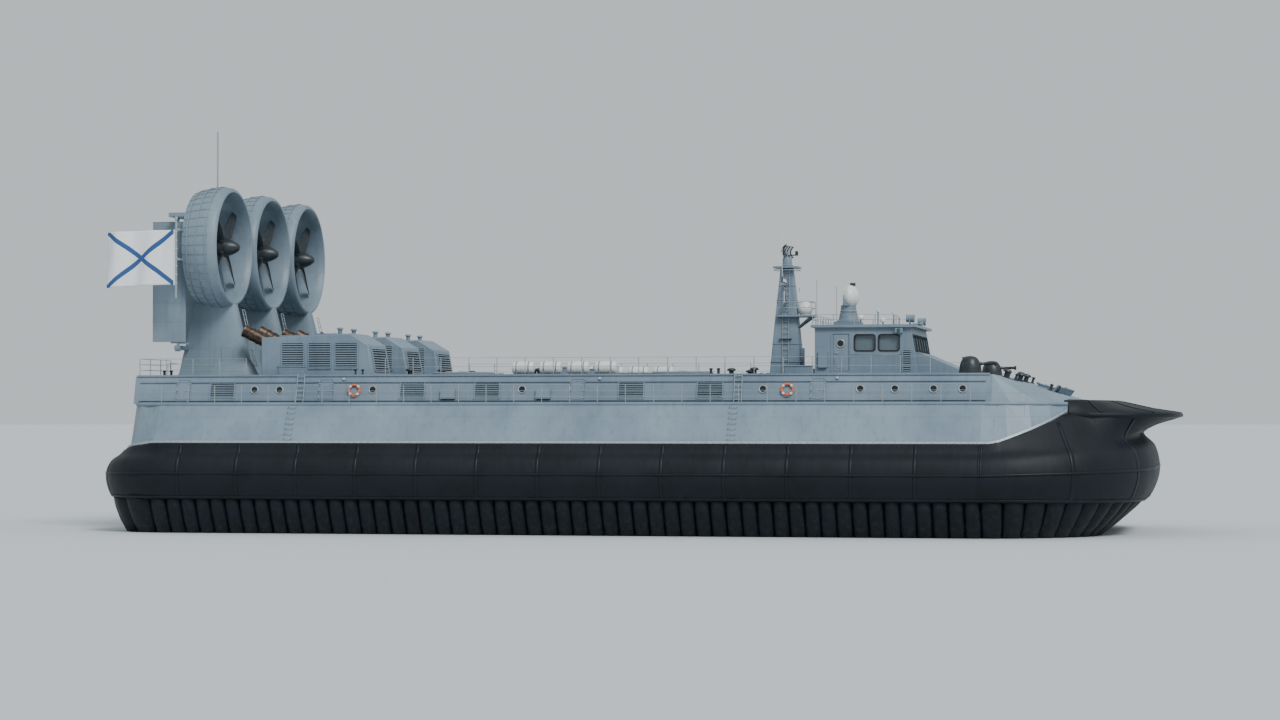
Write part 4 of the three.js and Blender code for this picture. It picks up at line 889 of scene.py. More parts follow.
def makeDuct(name, port):
    middle = Matrix.Translation((port, 0, propulsion["up"]))
    place = middle @ ringAxis
    bm = bmesh.new()
    addLathe(bm, propulsion["ring"], place, sides=96, closed=True)
    makePiece(f"duct_{name}_ring", bm, "duct", replaces=[f"duct_{name}"], angle=50)
    bm = bmesh.new()
    for aft in propulsion["hoops"]:
        radius = ringRadius(aft)
        addBand(bm, radius - 0.05, radius + 0.05, aft - 0.03, aft + 0.03, place, 96)
    for i in range(propulsion["stringers"]):
        spoke = place @ Matrix.Rotation(math.tau * i / propulsion["stringers"], 4, "Z")
        rows = [
            [
                spoke @ Vector((ringRadius(aft) + rise, across, aft))
                for rise, across in ((-0.04, -0.02), (0.03, -0.02), (0.03, 0.02), (-0.04, 0.02))
            ]
            for aft in (51.5, 51.9, 52.45, 52.96)
        ]
        sweepRows(bm, rows, closed=True, caps=True)
    makePiece(f"duct_{name}_ribs", bm, "duct")
    bm = bmesh.new()
    addLathe(bm, propulsion["hub"], place, sides=40)
    for angle in propulsion["vanes"]:
        turn = middle @ Matrix.Rotation(-math.radians(angle), 4, "Y")
        section = wingLine(0.8, 0.13, 2)
        rows = [[turn @ Vector((r, 52.05 + along, x)) for x, along in section] for r in (0.3, 2.92)]
        sweepRows(bm, rows, closed=True, caps=True)
    section = wingLine(0.95, 0.45)
    rows = [[middle @ Vector((x, 52.0 + along, up)) for x, along in section] for up in (-0.3, -2.95)]
    sweepRows(bm, rows, closed=True, caps=True)
    makePiece(f"duct_{name}_stator", bm, "duct", angle=40)
    bm = bmesh.new()
    fore, bend, aft = propulsion["beam"]
    low, high = propulsion["beamUp"]
    for side in (-1, 1):
        addBlock(bm, (port + side * 2.32, fore, low), (port + side * 2.6, bend, high))
    addBlock(bm, (port - 2.6, bend, low), (port + 2.6, aft, high))
    for side in (-1, 1):
        x, y = port + side * rudder["offset"], rudder["pivot"]
        addRod(bm, (x, y, low - 0.05), (x, y, high + 0.07), 0.16, sides=20)
    makePiece(f"duct_{name}_beam", bm, "duct", bevel=0.025)


# Propeller blade, as (radius, chord, pitch, thickness)
blade = {
    "stations": [
        (0.36, 0.42, 62, 0.2), (0.6, 0.5, 57, 0.16), (0.9, 0.6, 50, 0.12), (1.3, 0.64, 43, 0.095),
        (1.7, 0.63, 36, 0.08), (2.1, 0.58, 31, 0.065), (2.4, 0.52, 27, 0.055), (2.62, 0.44, 24.5, 0.045),
        (2.72, 0.34, 23.5, 0.035), (2.75, 0.2, 23, 0.02),
    ],
    "angles": (45, 135, 225, 315),
}


def makePropeller(name, port):
    body = f"propeller_{name}"
    centre = Matrix.Translation((port, propulsion["disc"], propulsion["up"]))
    bm = bmesh.new()
    for angle in blade["angles"]:
        turn = centre @ Matrix.Rotation(math.radians(angle), 4, "Y")
        rows = []
        for out, chord, pitch, thick in blade["stations"]:
            cosine, sine = math.cos(math.radians(pitch)), math.sin(math.radians(pitch))
            row = []
            for across, along in wingLine(chord, thick, 2):
                sweep = along - chord * 0.4
                spot = (out, sweep * sine + across * cosine, sweep * cosine - across * sine)
                row.append(turn @ Vector(spot))
            rows.append(row)
        sweepRows(bm, rows, closed=True, caps=True)
    makePiece(body + "_blades", bm, "blade", body, [body], angle=50)
    bm = bmesh.new()
    nose = smoothLine([(0, -0.95), (0.15, -0.9), (0.3, -0.7), (0.42, -0.42), (0.48, -0.15)], 3)
    profile = [*[tuple(p) for p in nose], (0.48, 0.27), (0.44, 0.3), (0, 0.3)]
    addLathe(bm, profile, centre @ ringAxis, sides=40)
    for angle in blade["angles"]:
        turn = centre @ Matrix.Rotation(math.radians(angle), 4, "Y")
        addRod(bm, (0.38, 0, 0), (0.56, 0, 0), 0.17, sides=24, turn=turn)
        addRod(bm, (0.55, 0, 0), (0.6, 0, 0), 0.13, sides=24, turn=turn)
    makePiece(body + "_spinner", bm, "weapon", body, angle=40)


rudder = {
    "offset": 1.45,
    "pivot": 53.75,
    "fore": 0.45,
    "chord": 1.9,
    "thick": 0.22,
    "low": 10.3,
    "high": 16.85,
    "ribs": 6,
}


def makeRudder(name, port):
    body, pivot = f"rudder_{name}", rudder["pivot"]
    bm = bmesh.new()

    def addLeaf(low, high, longer, thicker):
        chord, thick = rudder["chord"] + longer, rudder["thick"] + thicker
        nose = pivot - rudder["fore"] - longer * 0.3
        section = wingLine(chord, thick, 2)
        rows = [[Vector((port + x, nose + along, up)) for x, along in section] for up in (low, high)]
        sweepRows(bm, rows, closed=True, caps=True)

    addLeaf(rudder["low"], rudder["high"], 0, 0)
    for i in range(rudder["ribs"] + 1):
        up = mix(rudder["low"] - 0.01, rudder["high"] - 0.04, i / rudder["ribs"])
        addLeaf(up, up + 0.05, 0.02, 0.025)
    for low, high in ((10.11, 10.4), (16.8, 17.04)):
        addRod(bm, (port, pivot, low), (port, pivot, high), 0.075, sides=20)
    addBlock(bm, (port - 0.05, 53.1, 10.16), (port + 0.05, pivot, 10.24))
    makePiece(body + "_leaf", bm, "duct", body, [body], angle=40)


# Pylon, as (up, fore edge, chord, thickness)
pylon = {
    "sections": [
        (8.41, 49.5, 4.8, 1.7), (8.6, 49.68, 4.5, 1.42), (9.0, 49.88, 4.2, 1.15), (9.4, 50.1, 3.9, 0.95),
        (10.5, 50.37, 3.35, 0.86), (11.5, 50.62, 2.85, 0.78), (12.42, 50.86, 2.38, 0.7),
    ],
    "rungs": 12,
    "step": 0.28,
}


def makePylon(name, port):
    bm = bmesh.new()
    rows = [
        [Vector((port + across, fore + along, up)) for across, along in wingLine(chord, thick)]
        for up, fore, chord, thick in pylon["sections"]
    ]
    sweepRows(bm, rows, closed=True, caps=True)
    makePiece(f"pylon_{name}_trunk", bm, "duct", replaces=[f"pylon_{name}"], angle=45)
    bm = bmesh.new()
    addBlock(bm, (port - 1.65, 53.6, 9.86), (port + 1.65, 53.9, 10.1))
    for side in (-1, 1):
        x, y = port + side * rudder["offset"], rudder["pivot"]
        addRod(bm, (x, y, 9.78), (x, y, 10.106), 0.16, sides=20)
    addBlock(bm, (port - 0.12, 52.6, 9.7), (port + 0.12, 53.7, 10.02))
    for side in (-1, 1):
        addBlock(bm, (port + side * 0.43, 50.9, 8.75), (port + side * 0.5, 51.6, 10.1))
    makePiece(f"pylon_{name}_fittings", bm, "duct", bevel=0.02)
    last = pylon["rungs"] - 1

    def rungEnd(x, i):
        return port + x, mix(49.78, 50.5, i / last), 9.0 + i * pylon["step"]

    ladder = [[rungEnd(-0.2, i), rungEnd(0.2, i)] for i in range(last + 1)]
    ladder += [[rungEnd(x, 0), rungEnd(x, last)] for x in (-0.2, 0.2)]
    makeTubes(f"pylon_{name}_ladder", ladder, 0.02, "rail")


# Intake house, its profile as (aft, up)
house = {
    "half": 1.75,
    "profile": [(42.6, 8.41), (48.9, 8.41), (48.9, 10.5), (43.9, 10.7), (42.9, 10.1)],
    "louvres": (44.12, 45.62, 47.12),
    "collars": (1.35, 1.75, 2.15),
}


def makeIntakeHouse(name, port):
    half = house["half"]
    bm = bmesh.new()
    rows = [[Vector((port + x, aft, up)) for aft, up in house["profile"]] for x in (-half, half)]
    sweepRows(bm, rows, closed=True, caps=True)
    makePiece(f"intake_house_{name}_walls", bm, "house", replaces=[f"intake_house_{name}"], bevel=0.06)
    frames, slats, dark = bmesh.new(), bmesh.new(), bmesh.new()
    for side in (-1, 1):
        for aft in house["louvres"]:
            addLouvre(frames, slats, dark, onWall((port + side * half, aft, 9.5), (side, 0)), 1.2, 1.35, 11)
    addLouvre(frames, slats, dark, onWall((port, 42.75, 9.27), (0, -1), 10), 2.6, 1.2, 9)
    makePiece(f"intake_house_{name}_frames", frames, "house", bevel=0.012)
    makePiece(f"intake_house_{name}_slats", slats, "duct")
    # black sheet behind the louvres: painted shade, in the rubber finish
    makePiece(f"intake_house_{name}_shade", dark, "rubber")
    bm = bmesh.new()
    collars = bmesh.new()
    for side in (-1, 1):
        start, end = Vector((port + side * 1.1, 47.6, 9.7)), Vector((port + side * 1.35, 50.0, 10.9))
        lay = Matrix.Translation(start) @ (end - start).to_track_quat("Z", "Y").to_matrix().to_4x4()
        length = (end - start).length
        outside = [(0.34, 0), (0.34, length - 0.12), (0.355, length - 0.1), (0.355, length)]
        inside = [(0.3, length), (0.29, length - 0.9), (0, length - 0.9)]
        addLathe(bm, outside + inside, lay, sides=36)
        for along in house["collars"]:
            addBand(collars, 0.33, 0.37, along, along + 0.06, lay, 36)
    makePiece(f"intake_house_{name}_exhausts", bm, "exhaust", angle=50)
    makePiece(f"intake_house_{name}_collars", collars, "exhaust")
    bm = bmesh.new()
    addBlock(bm, (port - 0.6, 45.0, 10.55), (port + 0.6, 46.3, 10.74))
    addBlock(bm, (port - 0.45, 46.9, 10.5), (port + 0.45, 48.3, 10.66))
    for x in (-1.3, 1.3):
        addRod(bm, (port + x, 44.6, 10.6), (port + x, 44.6, 10.95), 0.12, sides=20)
        addRod(bm, (port + x, 44.6, 10.93), (port + x, 44.6, 11.03), 0.2, 0.14, sides=20)
    addBlock(bm, (port - 0.38, 48.88, 8.6), (port + 0.38, 48.95, 10.2))
    makePiece(f"intake_house_{name}_hatches", bm, "house", bevel=0.02)


for name, port in propulsion["ports"].items():
    makeDuct(name, port)
    makePropeller(name, port)
    makePylon(name, port)
    makeIntakeHouse(name, port)
    for hand, side in (("left", 1), ("right", -1)):
        makeRudder(f"{name}_{hand}", port + side * rudder["offset"])
makeTubes("light_pole", [[(-6.9, 52.0, 18.7), (-6.9, 52.0, 21.88)]], 0.045, "rail")
makeApron()
print("propulsion and apron made")


# Lift fans; coaming as (radius, up), sections of a blade as (radius, pitch), rings as radii
lift = {
    "port": 7.1,
    "aft": {"fore": 26.0, "aft": 38.0},
    "disc": 7.75,
    "blades": 12,
    "sections": ((0.26, 46), (0.5, 38), (0.8, 30), (1.2, 23)),
    "coaming": [
        (1.37, 7.12), (1.385, 7.12), (1.385, 8.57), (1.63, 8.57), (1.64, 8.38), (1.66, 8.38),
        (1.66, 8.56), (1.6, 8.6), (1.43, 8.6), (1.37, 8.56),
    ],
    "bolts": 24,
    "rings": (0.3, 0.45, 0.6, 0.75, 0.9, 1.05, 1.2, 1.35),
    "bars": 16,
}


def makeLiftFan(side, end):
    hand = "port" if side > 0 else "starboard"
    name, aft = f"lift_fan_{hand}_{end}", lift["aft"][end]
    port = side * lift["port"]
    centre, axis = Matrix.Translation((port, aft, lift["disc"])), Matrix.Translation((port, aft, 0))
    bm = bmesh.new()
    addLathe(bm, [(0, -0.2), (0.3, -0.2), (0.3, 0.1), (0.24, 0.2), (0.1, 0.26), (0, 0.27)], centre, sides=32)
    for i in range(lift["blades"]):
        turn = centre @ Matrix.Rotation(math.tau * i / lift["blades"], 4, "Z")
        rows = []
        for out, pitch in lift["sections"]:
            tilt = turn @ Matrix.Translation((out, 0, 0)) @ Matrix.Rotation(math.radians(pitch), 4, "X")
            section = wingLine(0.34, 0.04, 1)
            rows.append([tilt @ Vector((0, along - 0.16, across)) for across, along in section])
        sweepRows(bm, rows, closed=True, caps=True)
    makePiece(name + "_rotor", bm, "blade", name, [name], angle=40)
    bm = bmesh.new()
    addLathe(bm, lift["coaming"], axis, sides=64, closed=True)
    for i in range(lift["bolts"]):
        spot = axis @ Matrix.Rotation(math.tau * i / lift["bolts"], 4, "Z")
        addRod(bm, (1.71, 0, 8.4), (1.71, 0, 8.44), 0.03, sides=6, turn=spot)
    makePiece(name + "_coaming", bm, "duct", angle=40)

    # The guard is a shallow cone
    def guardSpot(radius, share, up):
        x, y = radius * math.cos(math.tau * share), radius * math.sin(math.tau * share)
        return port + x, aft + y, up + 0.05 * (1.45 - radius)

    rings = [[guardSpot(radius, k / 48, 8.55) for k in range(48)] for radius in lift["rings"]]
    makeTubes(name + "_guard_rings", rings, 0.012, "grille", closed=True)
    count = lift["bars"]
    bars = [[guardSpot(radius, k / count, 8.53) for radius in (0.28, 1.5)] for k in range(count)]
    makeTubes(name + "_guard_bars", bars, 0.02, "grille")
    bm = bmesh.new()
    addLathe(bm, [(0, 8.58), (0.3, 8.58), (0.3, 8.62), (0.2, 8.65), (0, 8.66)], axis, sides=32)
    makePiece(name + "_guard_cap", bm, "grille")


for side in (1, -1):
    for end in ("fore", "aft"):
        makeLiftFan(side, end)


# Cuts a block out of a finished piece
def carve(piece, low, high):
    bm = bmesh.new()
    addBlock(bm, low, high)
    bm.transform(toModel)
    mesh = bpy.data.meshes.new("cutter")
    bm.to_mesh(mesh)
    bm.free()
    cutter = bpy.data.objects.new("cutter", mesh)
    bpy.context.scene.collection.objects.link(cutter)
    slot = piece.modifiers.new("slot", "BOOLEAN")
    slot.object = cutter
    slot.operation = "DIFFERENCE"
    applyModifiers(piece)
    bpy.data.objects.remove(cutter)


# Gun mounts, with one of the barrels' jacket as (radius, along)
gunMount = {
    "port": 7.1,
    "aft": 10.7,
    "base": 8.403,
    "trunnion": 0.58,
    "barrels": 6,
    "bolts": 28,
    "jacket": [
        (0, 0.16), (0.075, 0.16), (0.085, 0.2), (0.085, 0.6), (0.07, 0.62), (0.07, 1.0), (0.085, 1.02),
        (0.085, 1.08), (0, 1.08),
    ],
    "muzzle": [(0.1, 1.25), (0.115, 1.26), (0.115, 1.36), (0.1, 1.37), (0.085, 1.36), (0.085, 1.26)],
}


def makeGunMount(side):
    hand = "port" if side > 0 else "starboard"
    turretBody, gunBody = f"turret_{hand}", f"gun_{hand}"
    port, aft, base = side * gunMount["port"], gunMount["aft"], gunMount["base"]
    centre = Matrix.Translation((port, aft, base))
    bm = bmesh.new()
    dome = smoothLine([(0.6, 0.14), (0.57, 0.42), (0.5, 0.68), (0.36, 0.9), (0.18, 0.985), (0, 1.0)], 3)
    addLathe(bm, [(0, 0.01), (0.62, 0.01), (0.62, 0.12), *[tuple(p) for p in dome]], centre, sides=56)
    shell = makePiece(turretBody + "_dome", bm, "weapon", turretBody, [turretBody], angle=40)
    carve(shell, (port - 0.2, aft - 0.9, base + 0.22), (port + 0.2, aft + 0.2, base + 1.3))
    bm = bmesh.new()
    for i in range(gunMount["bolts"]):
        spot = centre @ Matrix.Rotation(math.tau * i / gunMount["bolts"], 4, "Z")
        addRod(bm, (0.6, 0, 0.1), (0.6, 0, 0.15), 0.02, sides=6, turn=spot)
    for x in (-0.36, 0.36):
        addBlock(bm, (port + x - 0.1, aft + 0.08, base + 0.7), (port + x + 0.1, aft + 0.3, base + 0.86))
    addBlock(bm, (port - 0.16, aft + 0.24, base + 0.86), (port + 0.16, aft + 0.44, base + 0.92))
    makePiece(turretBody + "_fittings", bm, "weapon", turretBody, bevel=0.01)
    bm = bmesh.new()
    up = base + gunMount["trunnion"]
    axis = Matrix.Translation((port, aft, up)) @ Matrix.Rotation(math.pi / 2, 4, "X")
    addLathe(bm, gunMount["jacket"], axis, sides=28)
    for i in range(gunMount["barrels"]):
        spot = axis @ Matrix.Rotation(math.tau * i / gunMount["barrels"], 4, "Z")
        addRod(bm, (0.052, 0, 1.05), (0.052, 0, 1.34), 0.022, sides=12, turn=spot)
    addLathe(bm, gunMount["muzzle"], axis, sides=28, closed=True)
    makePiece(gunBody + "_barrels", bm, "weapon", gunBody, [gunBody], angle=40)
    bm = bmesh.new()
    addBlock(bm, (port - 0.15, aft - 0.34, up - 0.14), (port + 0.15, aft + 0.1, up + 0.12))
    addRod(bm, (port - 0.19, aft, up), (port + 0.19, aft, up), 0.06, sides=20)
    makePiece(gunBody + "_cradle", bm, "weapon", gunBody, bevel=0.02)
    bm = bmesh.new()
    seat = Matrix.Translation((port, aft, 8.36))
    addLathe(bm, [(0, 0), (0.78, 0), (0.78, 0.03), (0.74, 0.05), (0, 0.05)], seat, sides=56)
    makePiece(f"turret_seat_{hand}", bm, "house")


makeGunMount(1)
makeGunMount(-1)


director = {"aft": 18.0, "foot": 11.42, "top": 11.953}


def makeDirector():
    aft, foot, top = director["aft"], director["foot"], director["top"]
    bm = bmesh.new()
    base = [(0, 0.005), (0.66, 0.005), (0.66, 0.06), (0.56, 0.1), (0.48, 0.44)]
    column = [(radius, foot + up) for radius, up in base]
    column += [(0.48, top - 0.04), (0.45, top - 0.01), (0, top - 0.01)]
    addLathe(bm, column, Matrix.Translation((0, aft, 0)), sides=48)
    makePiece("director_pedestal_column", bm, "house", replaces=["director_pedestal"], angle=40)
    centre = Matrix.Translation((0, aft, top))
    bm = bmesh.new()
    drum = [(0, 0.01), (0.47, 0.01), (0.47, 0.06), (0.43, 0.1), (0.42, 0.36), (0.38, 0.41), (0, 0.42)]
    addLathe(bm, drum, centre, sides=48)
    addBlock(bm, (-0.13, aft - 0.12, top + 0.3), (0.13, aft + 0.3, top + 0.82))
    for side in (-1, 1):
        addBlock(bm, (side * 0.4, aft - 0.1, top + 0.35), (side * 0.52, aft + 0.22, top + 0.95))
    makePiece("director_mount", bm, "house", "director_head", ["director_head"], bevel=0.015)
    bm = bmesh.new()
    ahead = centre @ Matrix.Translation((0, 0, 0.85)) @ Matrix.Rotation(math.pi / 2, 4, "X")
    radome = smoothLine([(0, 0.6), (0.25, 0.56), (0.48, 0.42), (0.62, 0.22), (0.655, 0.05)], 4)
    back = [(0.62, -0.02), (0.5, -0.2), (0.44, -0.27), (0, -0.28)]
    addLathe(bm, [tuple(p) for p in radome] + back, ahead, sides=56)
    makePiece("director_radome", bm, "gelCoat", "director_head", angle=40)
    bm = bmesh.new()
    addRod(bm, (0.3, aft - 0.35, top + 1.55), (0.3, aft - 0.05, top + 1.55), 0.09, sides=20)
    addBlock(bm, (0.24, aft - 0.25, top + 1.3), (0.36, aft - 0.1, top + 1.5))
    makePiece("director_sight", bm, "weapon", "director_head", bevel=0.01)


makeDirector()
print("lift fans, guns and director made")


# Mast; levels of its trunk as (up, half width, half depth)
mast = {
    "aft": 21.4,
    "table": 14.5,
    "yard": 13.47,
    "yardLow": 12.5,
    "levels": [(8.41, 0.75, 0.9), (11.6, 0.5, 0.62), (14.4, 0.3, 0.34)],
    "balcony": (11.7, 11.8),  # underside and top
    "rungs": 19,
}


def makeMast():
    aft, yard, yardLow = mast["aft"], mast["yard"], mast["yardLow"]
    low, high = mast["balcony"]
    bm = bmesh.new()
    rows = []
    for up, half, deep in mast["levels"]:
        corners = ((-half, -deep), (half, -deep), (half, deep), (-half, deep))
        rows.append([Vector((x, aft + y, up)) for x, y in corners])
    sweepRows(bm, rows, closed=True, caps=True)
    makePiece("mast_trunk", bm, "house", replaces=["mast"], bevel=0.05)
    bm = bmesh.new()
    addBlock(bm, (-0.7, aft - 0.7, mast["table"] - 0.1), (0.7, aft + 0.7, mast["table"]))
    addBlock(bm, (-0.9, aft - 1.5, low), (0.9, aft + 0.5, high))
    for x in (-0.75, 0, 0.75):
        addRod(bm, (x * 0.6, aft - 0.6, 11.1), (x, aft - 1.4, 11.72), 0.04, sides=10)
    for up, half in ((9.2, 0.71), (10.2, 0.62), (12.6, 0.44), (13.4, 0.37)):
        addBlock(bm, (-half - 0.02, aft - half * 1.22, up), (half + 0.02, aft + half * 1.22, up + 0.05))
    addBlock(bm, (-0.3, aft - 0.93, 8.6), (0.3, aft - 0.78, 10.0))
    addBlock(bm, (-0.35, aft - 0.35, 10.5), (-0.8, aft + 0.35, 10.56))
    makePiece("mast_platforms", bm, "house", bevel=0.015)
    spars = [[(-2.1, aft, yard), (2.1, aft, yard)], [(-1.3, aft, yardLow), (1.3, aft, yardLow)]]
    makeTubes("mast_yards", spars, 0.06, "rail", sides=3)
    braces = [[(x, aft, yard), (x * 0.25, aft, yardLow + 0.1)] for x in (-1.6, 1.6)]
    braces += [[(x, aft, yardLow), (x * 0.25, aft, yardLow - 0.5)] for x in (-1.2, 1.2)]
    makeTubes("mast_braces", braces, 0.03, "rail")
    whips = [[(x, aft, yard), (x, aft, 15.0), (x, aft + 0.02, 16.4)] for x in (-1.95, 1.95)]
    whips += [[(x, aft, yardLow), (x, aft, 13.3)] for x in (-1.15, 1.15)]
    makeTubes("mast_whips", whips, 0.018, "gelCoat")
    bm = bmesh.new()
    for x in (-1.95, 1.95):
        addRod(bm, (x, aft, yard), (x, aft, yard + 0.4), 0.05, 0.03, sides=16)
    for x in (-1.3, 1.3, -0.65, 0.65):
        addRod(bm, (x, aft, yard + 0.03), (x, aft, yard + 0.12), 0.07, sides=16)
    makePiece("mast_insulators", bm, "weapon")
    bm = bmesh.new()
    for x in (-1.3, 1.3, -0.65, 0.65):
        addRod(bm, (x, aft, yard + 0.12), (x, aft, yard + 0.3), 0.06, 0.05, sides=20)
    for up in (12.2, 13.1):
        addRod(bm, (0, aft - 0.72, up), (0, aft - 0.72, up + 0.2), 0.07, sides=20)
    makePiece("mast_lights", bm, "lens")
    bm = bmesh.new()
    seat = Matrix.Translation((0, aft - 1.0, high))
    ball = seat @ Matrix.Translation((0, 0, 0.35))
    bmesh.ops.create_uvsphere(bm, u_segments=40, v_segments=24, radius=0.42, matrix=ball)
    addLathe(bm, [(0, 0), (0.3, 0), (0.3, 0.06), (0.36, 0.2), (0, 0.2)], seat, sides=40)
    makePiece("mast_dome", bm, "gelCoat")
    corners = ((-0.9, 0.45), (-0.9, -1.45), (0.9, -1.45), (0.9, 0.45))
    rails = [[(x, aft + y, up) for x, y in corners] for up in (high + 0.4, high + 0.75)]
    posts = [(x, aft + y) for x in (-0.9, 0.9) for y in (-1.45, -0.5, 0.45)]
    rails += [[(x, y, high), (x, y, high + 0.75)] for x, y in posts]
    corners = ((0.68, -0.68), (-0.68, -0.68), (-0.68, 0.68), (0.68, 0.68), (0.68, -0.68))
    rails.append([(x, aft + y, 14.3) for x, y in corners])
    makeTubes("mast_rails", rails, 0.018, "rail")
    side = [(-0.79, 8.5), (-0.55, 11.5), (-0.33, 14.3)]
    ladder = [[(x - 0.06, aft + y, up) for x, up in side] for y in (-0.17, 0.17)]
    for i in range(mast["rungs"]):
        up = 8.75 + i * 0.3
        x = mix(-0.79, -0.55, (up - 8.5) / 3) if up < 11.5 else mix(-0.55, -0.33, (up - 11.5) / 2.8)
        ladder.append([(x - 0.06, aft - 0.17, up), (x - 0.06, aft + 0.17, up)])
    makeTubes("mast_ladder", ladder, 0.018, "rail")


makeMast()


# Radar: a dish cut from a curved sheet, which bends by bow across it and by dip up it
radar = {"half": 1.25, "low": 0.55, "high": 1.15, "bow": 0.28, "dip": 0.22, "ribs": 8, "slats": 11}


def makeRadar():
    aft, up = mast["aft"], mast["table"] + 0.003
    low, high = radar["low"], radar["high"]
    body = "radar_antenna"
    bm = bmesh.new()
    base = [(0, 0.01), (0.32, 0.01), (0.32, 0.08), (0.27, 0.14), (0.26, 0.42), (0.22, 0.5), (0, 0.5)]
    addLathe(bm, base, Matrix.Translation((0, aft, up)), sides=40)
    addBlock(bm, (-0.09, aft - 0.06, up + 0.4), (0.09, aft + 0.22, up + 0.82))
    makePiece(body + "_base", bm, "house", body, [body], bevel=0.01)
    bm = bmesh.new()

    def spot(port, level, thick=0.0):
        bow = radar["bow"] * (1 - (port / radar["half"]) ** 2)
        dip = radar["dip"] * ((level - 0.85) / 0.35) ** 2
        return Vector((port, aft - 0.02 + bow - dip + thick, up + level))

    count = radar["ribs"] * 2
    columns = [mix(-radar["half"], radar["half"], i / count) for i in range(count + 1)]
    section = ((-0.02, 0), (0.02, 0), (0.02, 0.05), (-0.02, 0.05))
    for level in (low, high):
        rows = [[spot(x, level + rise, thick) for rise, thick in section] for x in columns]
        sweepRows(bm, rows, closed=True, caps=True)
    section = ((-0.018, 0), (0.018, 0), (0.018, 0.06), (-0.018, 0.06))
    for x in columns[::2]:
        levels = [mix(low, high, i / 4) for i in range(5)]
        rows = [[spot(x + across, level, thick) for across, thick in section] for level in levels]
        sweepRows(bm, rows, closed=True, caps=True)
    makePiece(body + "_frame", bm, "weapon", body)
    levels = [mix(low, high, (i + 1) / (radar["slats"] + 1)) for i in range(radar["slats"])]
    slats = [[spot(x, level) for x in columns] for level in levels]
    makeTubes(body + "_slats", slats, 0.011, "weapon", body)
    bm = bmesh.new()
    addBlock(bm, (-0.05, aft - 0.55, up + 0.6), (0.05, aft + 0.1, up + 0.66))
    addBlock(bm, (-0.09, aft - 0.6, up + 0.6), (0.09, aft - 0.45, up + 0.85))
    makePiece(body + "_horn", bm, "weapon", body, bevel=0.01)


makeRadar()


rafts = {"port": 8.35, "aft": (29.9, 31.4, 32.9, 34.4), "up": 8.82, "radius": 0.335, "bands": (-0.33, 0.33)}


def makeRaftRack(side):
    hand = "port" if side > 0 else "starboard"
    port = side * rafts["port"]
    bm, bands = bmesh.new(), bmesh.new()
    radius = rafts["radius"]
    end = [tuple(p) for p in smoothLine([(0, 0.6), (0.2, 0.59), (0.3, 0.54), (radius, 0.45)], 3)]
    seam = [(radius, 0.02), (radius + 0.017, 0.015), (radius + 0.017, -0.015), (radius, -0.02)]
    profile = end + seam + [(out, -along) for out, along in reversed(end)]
    for aft in rafts["aft"]:
        lie = Matrix.Translation((port, aft, rafts["up"])) @ ringAxis
        addLathe(bm, profile, lie, sides=36)
        for along in rafts["bands"]:
            addBand(bands, radius, radius + 0.013, along - 0.03, along + 0.03, lie, 36)
    rack = f"raft_rack_{hand}"
    makePiece(rack + "_canisters", bm, "gelCoat", replaces=[rack], angle=40)
    makePiece(rack + "_bands", bands, "grille")
    bm = bmesh.new()
    for x in (-0.24, 0.24):
        addBlock(bm, (port + x - 0.05, 29.2, 8.403), (port + x + 0.05, 35.0, 8.5))
    for aft in [aft + along for aft in rafts["aft"] for along in rafts["bands"]]:
        addBlock(bm, (port - 0.3, aft - 0.04, 8.48), (port + 0.3, aft + 0.04, 8.56))
        for x in (-1, 1):
            addBlock(bm, (port + x * 0.2, aft - 0.034, 8.5), (port + x * 0.3, aft + 0.034, 8.68))
    makePiece(rack + "_cradles", bm, "house", bevel=0.01)


makeRaftRack(1)
makeRaftRack(-1)


# Ensign: bunting cut 3 by 2, streaming aft from its staff in soft folds that grow towards the fly
flag = {
    "port": -10.45,
    "aft": 53.19,
    "staff": 53.12,
    "low": 13.3,
    "hoist": 3.0,
    "run": 3.9,
    "columns": 72,
    "rows": 36,
    "cloth": 0.003,
    "rings": 7,
}


def makeEnsign():
    bm = bmesh.new()
    grid = bmesh.ops.create_grid(bm, x_segments=flag["columns"], y_segments=flag["rows"], size=0.5)["verts"]
    cut = bm.loops.layers.uv.new("cut")
    for face in bm.faces:
        for loop in face.loops:
            loop[cut].uv = (loop.vert.co.x + 0.5, loop.vert.co.y + 0.5)
    for vert in grid:
        share, rise = vert.co.x + 0.5, vert.co.y + 0.5
        phase = share * 4.2 * math.pi + 0.55 * (rise - 0.5)
        ripple = 0.035 * math.sin(share * 23 + rise * 5) * min(share * 6, 1)
        wave = 0.25 * share**0.9 * math.sin(phase) + ripple
        droop = 0.16 * share**1.6 * (1 - 0.35 * rise)
        aft = flag["aft"] + share * flag["run"] - 0.06 * share * math.sin(math.pi * rise)
        up = flag["low"] + rise * flag["hoist"] * 0.985 - droop + 0.03
        vert.co = Vector((flag["port"] + wave, aft, up))
    area = sum(face.calc_area() for face in bm.faces) * craft["scale"] ** 2
    cloth = makePiece("ensign_cloth", bm, "bunting", replaces=["ensign"], angle=180)
    thicken(cloth, flag["cloth"])
    print("ensign area in square metres", round(area, 3))
    makeHoist()


# Canvas hem with its rope, laced to the staff
def makeHoist():
    port, aft, low, high = flag["port"], flag["aft"], flag["low"], flag["low"] + flag["hoist"]
    bm = bmesh.new()
    addBlock(bm, (port - 0.022, aft - 0.03, low), (port + 0.022, aft + 0.07, high))
    for i in range(flag["rings"]):
        up = mix(low + 0.12, high - 0.12, i / (flag["rings"] - 1))
        ring = Matrix.Translation((port, flag["staff"], up))
        addBand(bm, 0.062, 0.085, -0.012, 0.012, ring, 20)
    return makePiece("ensign_hoist", bm, "gelCoat")


makeEnsign()


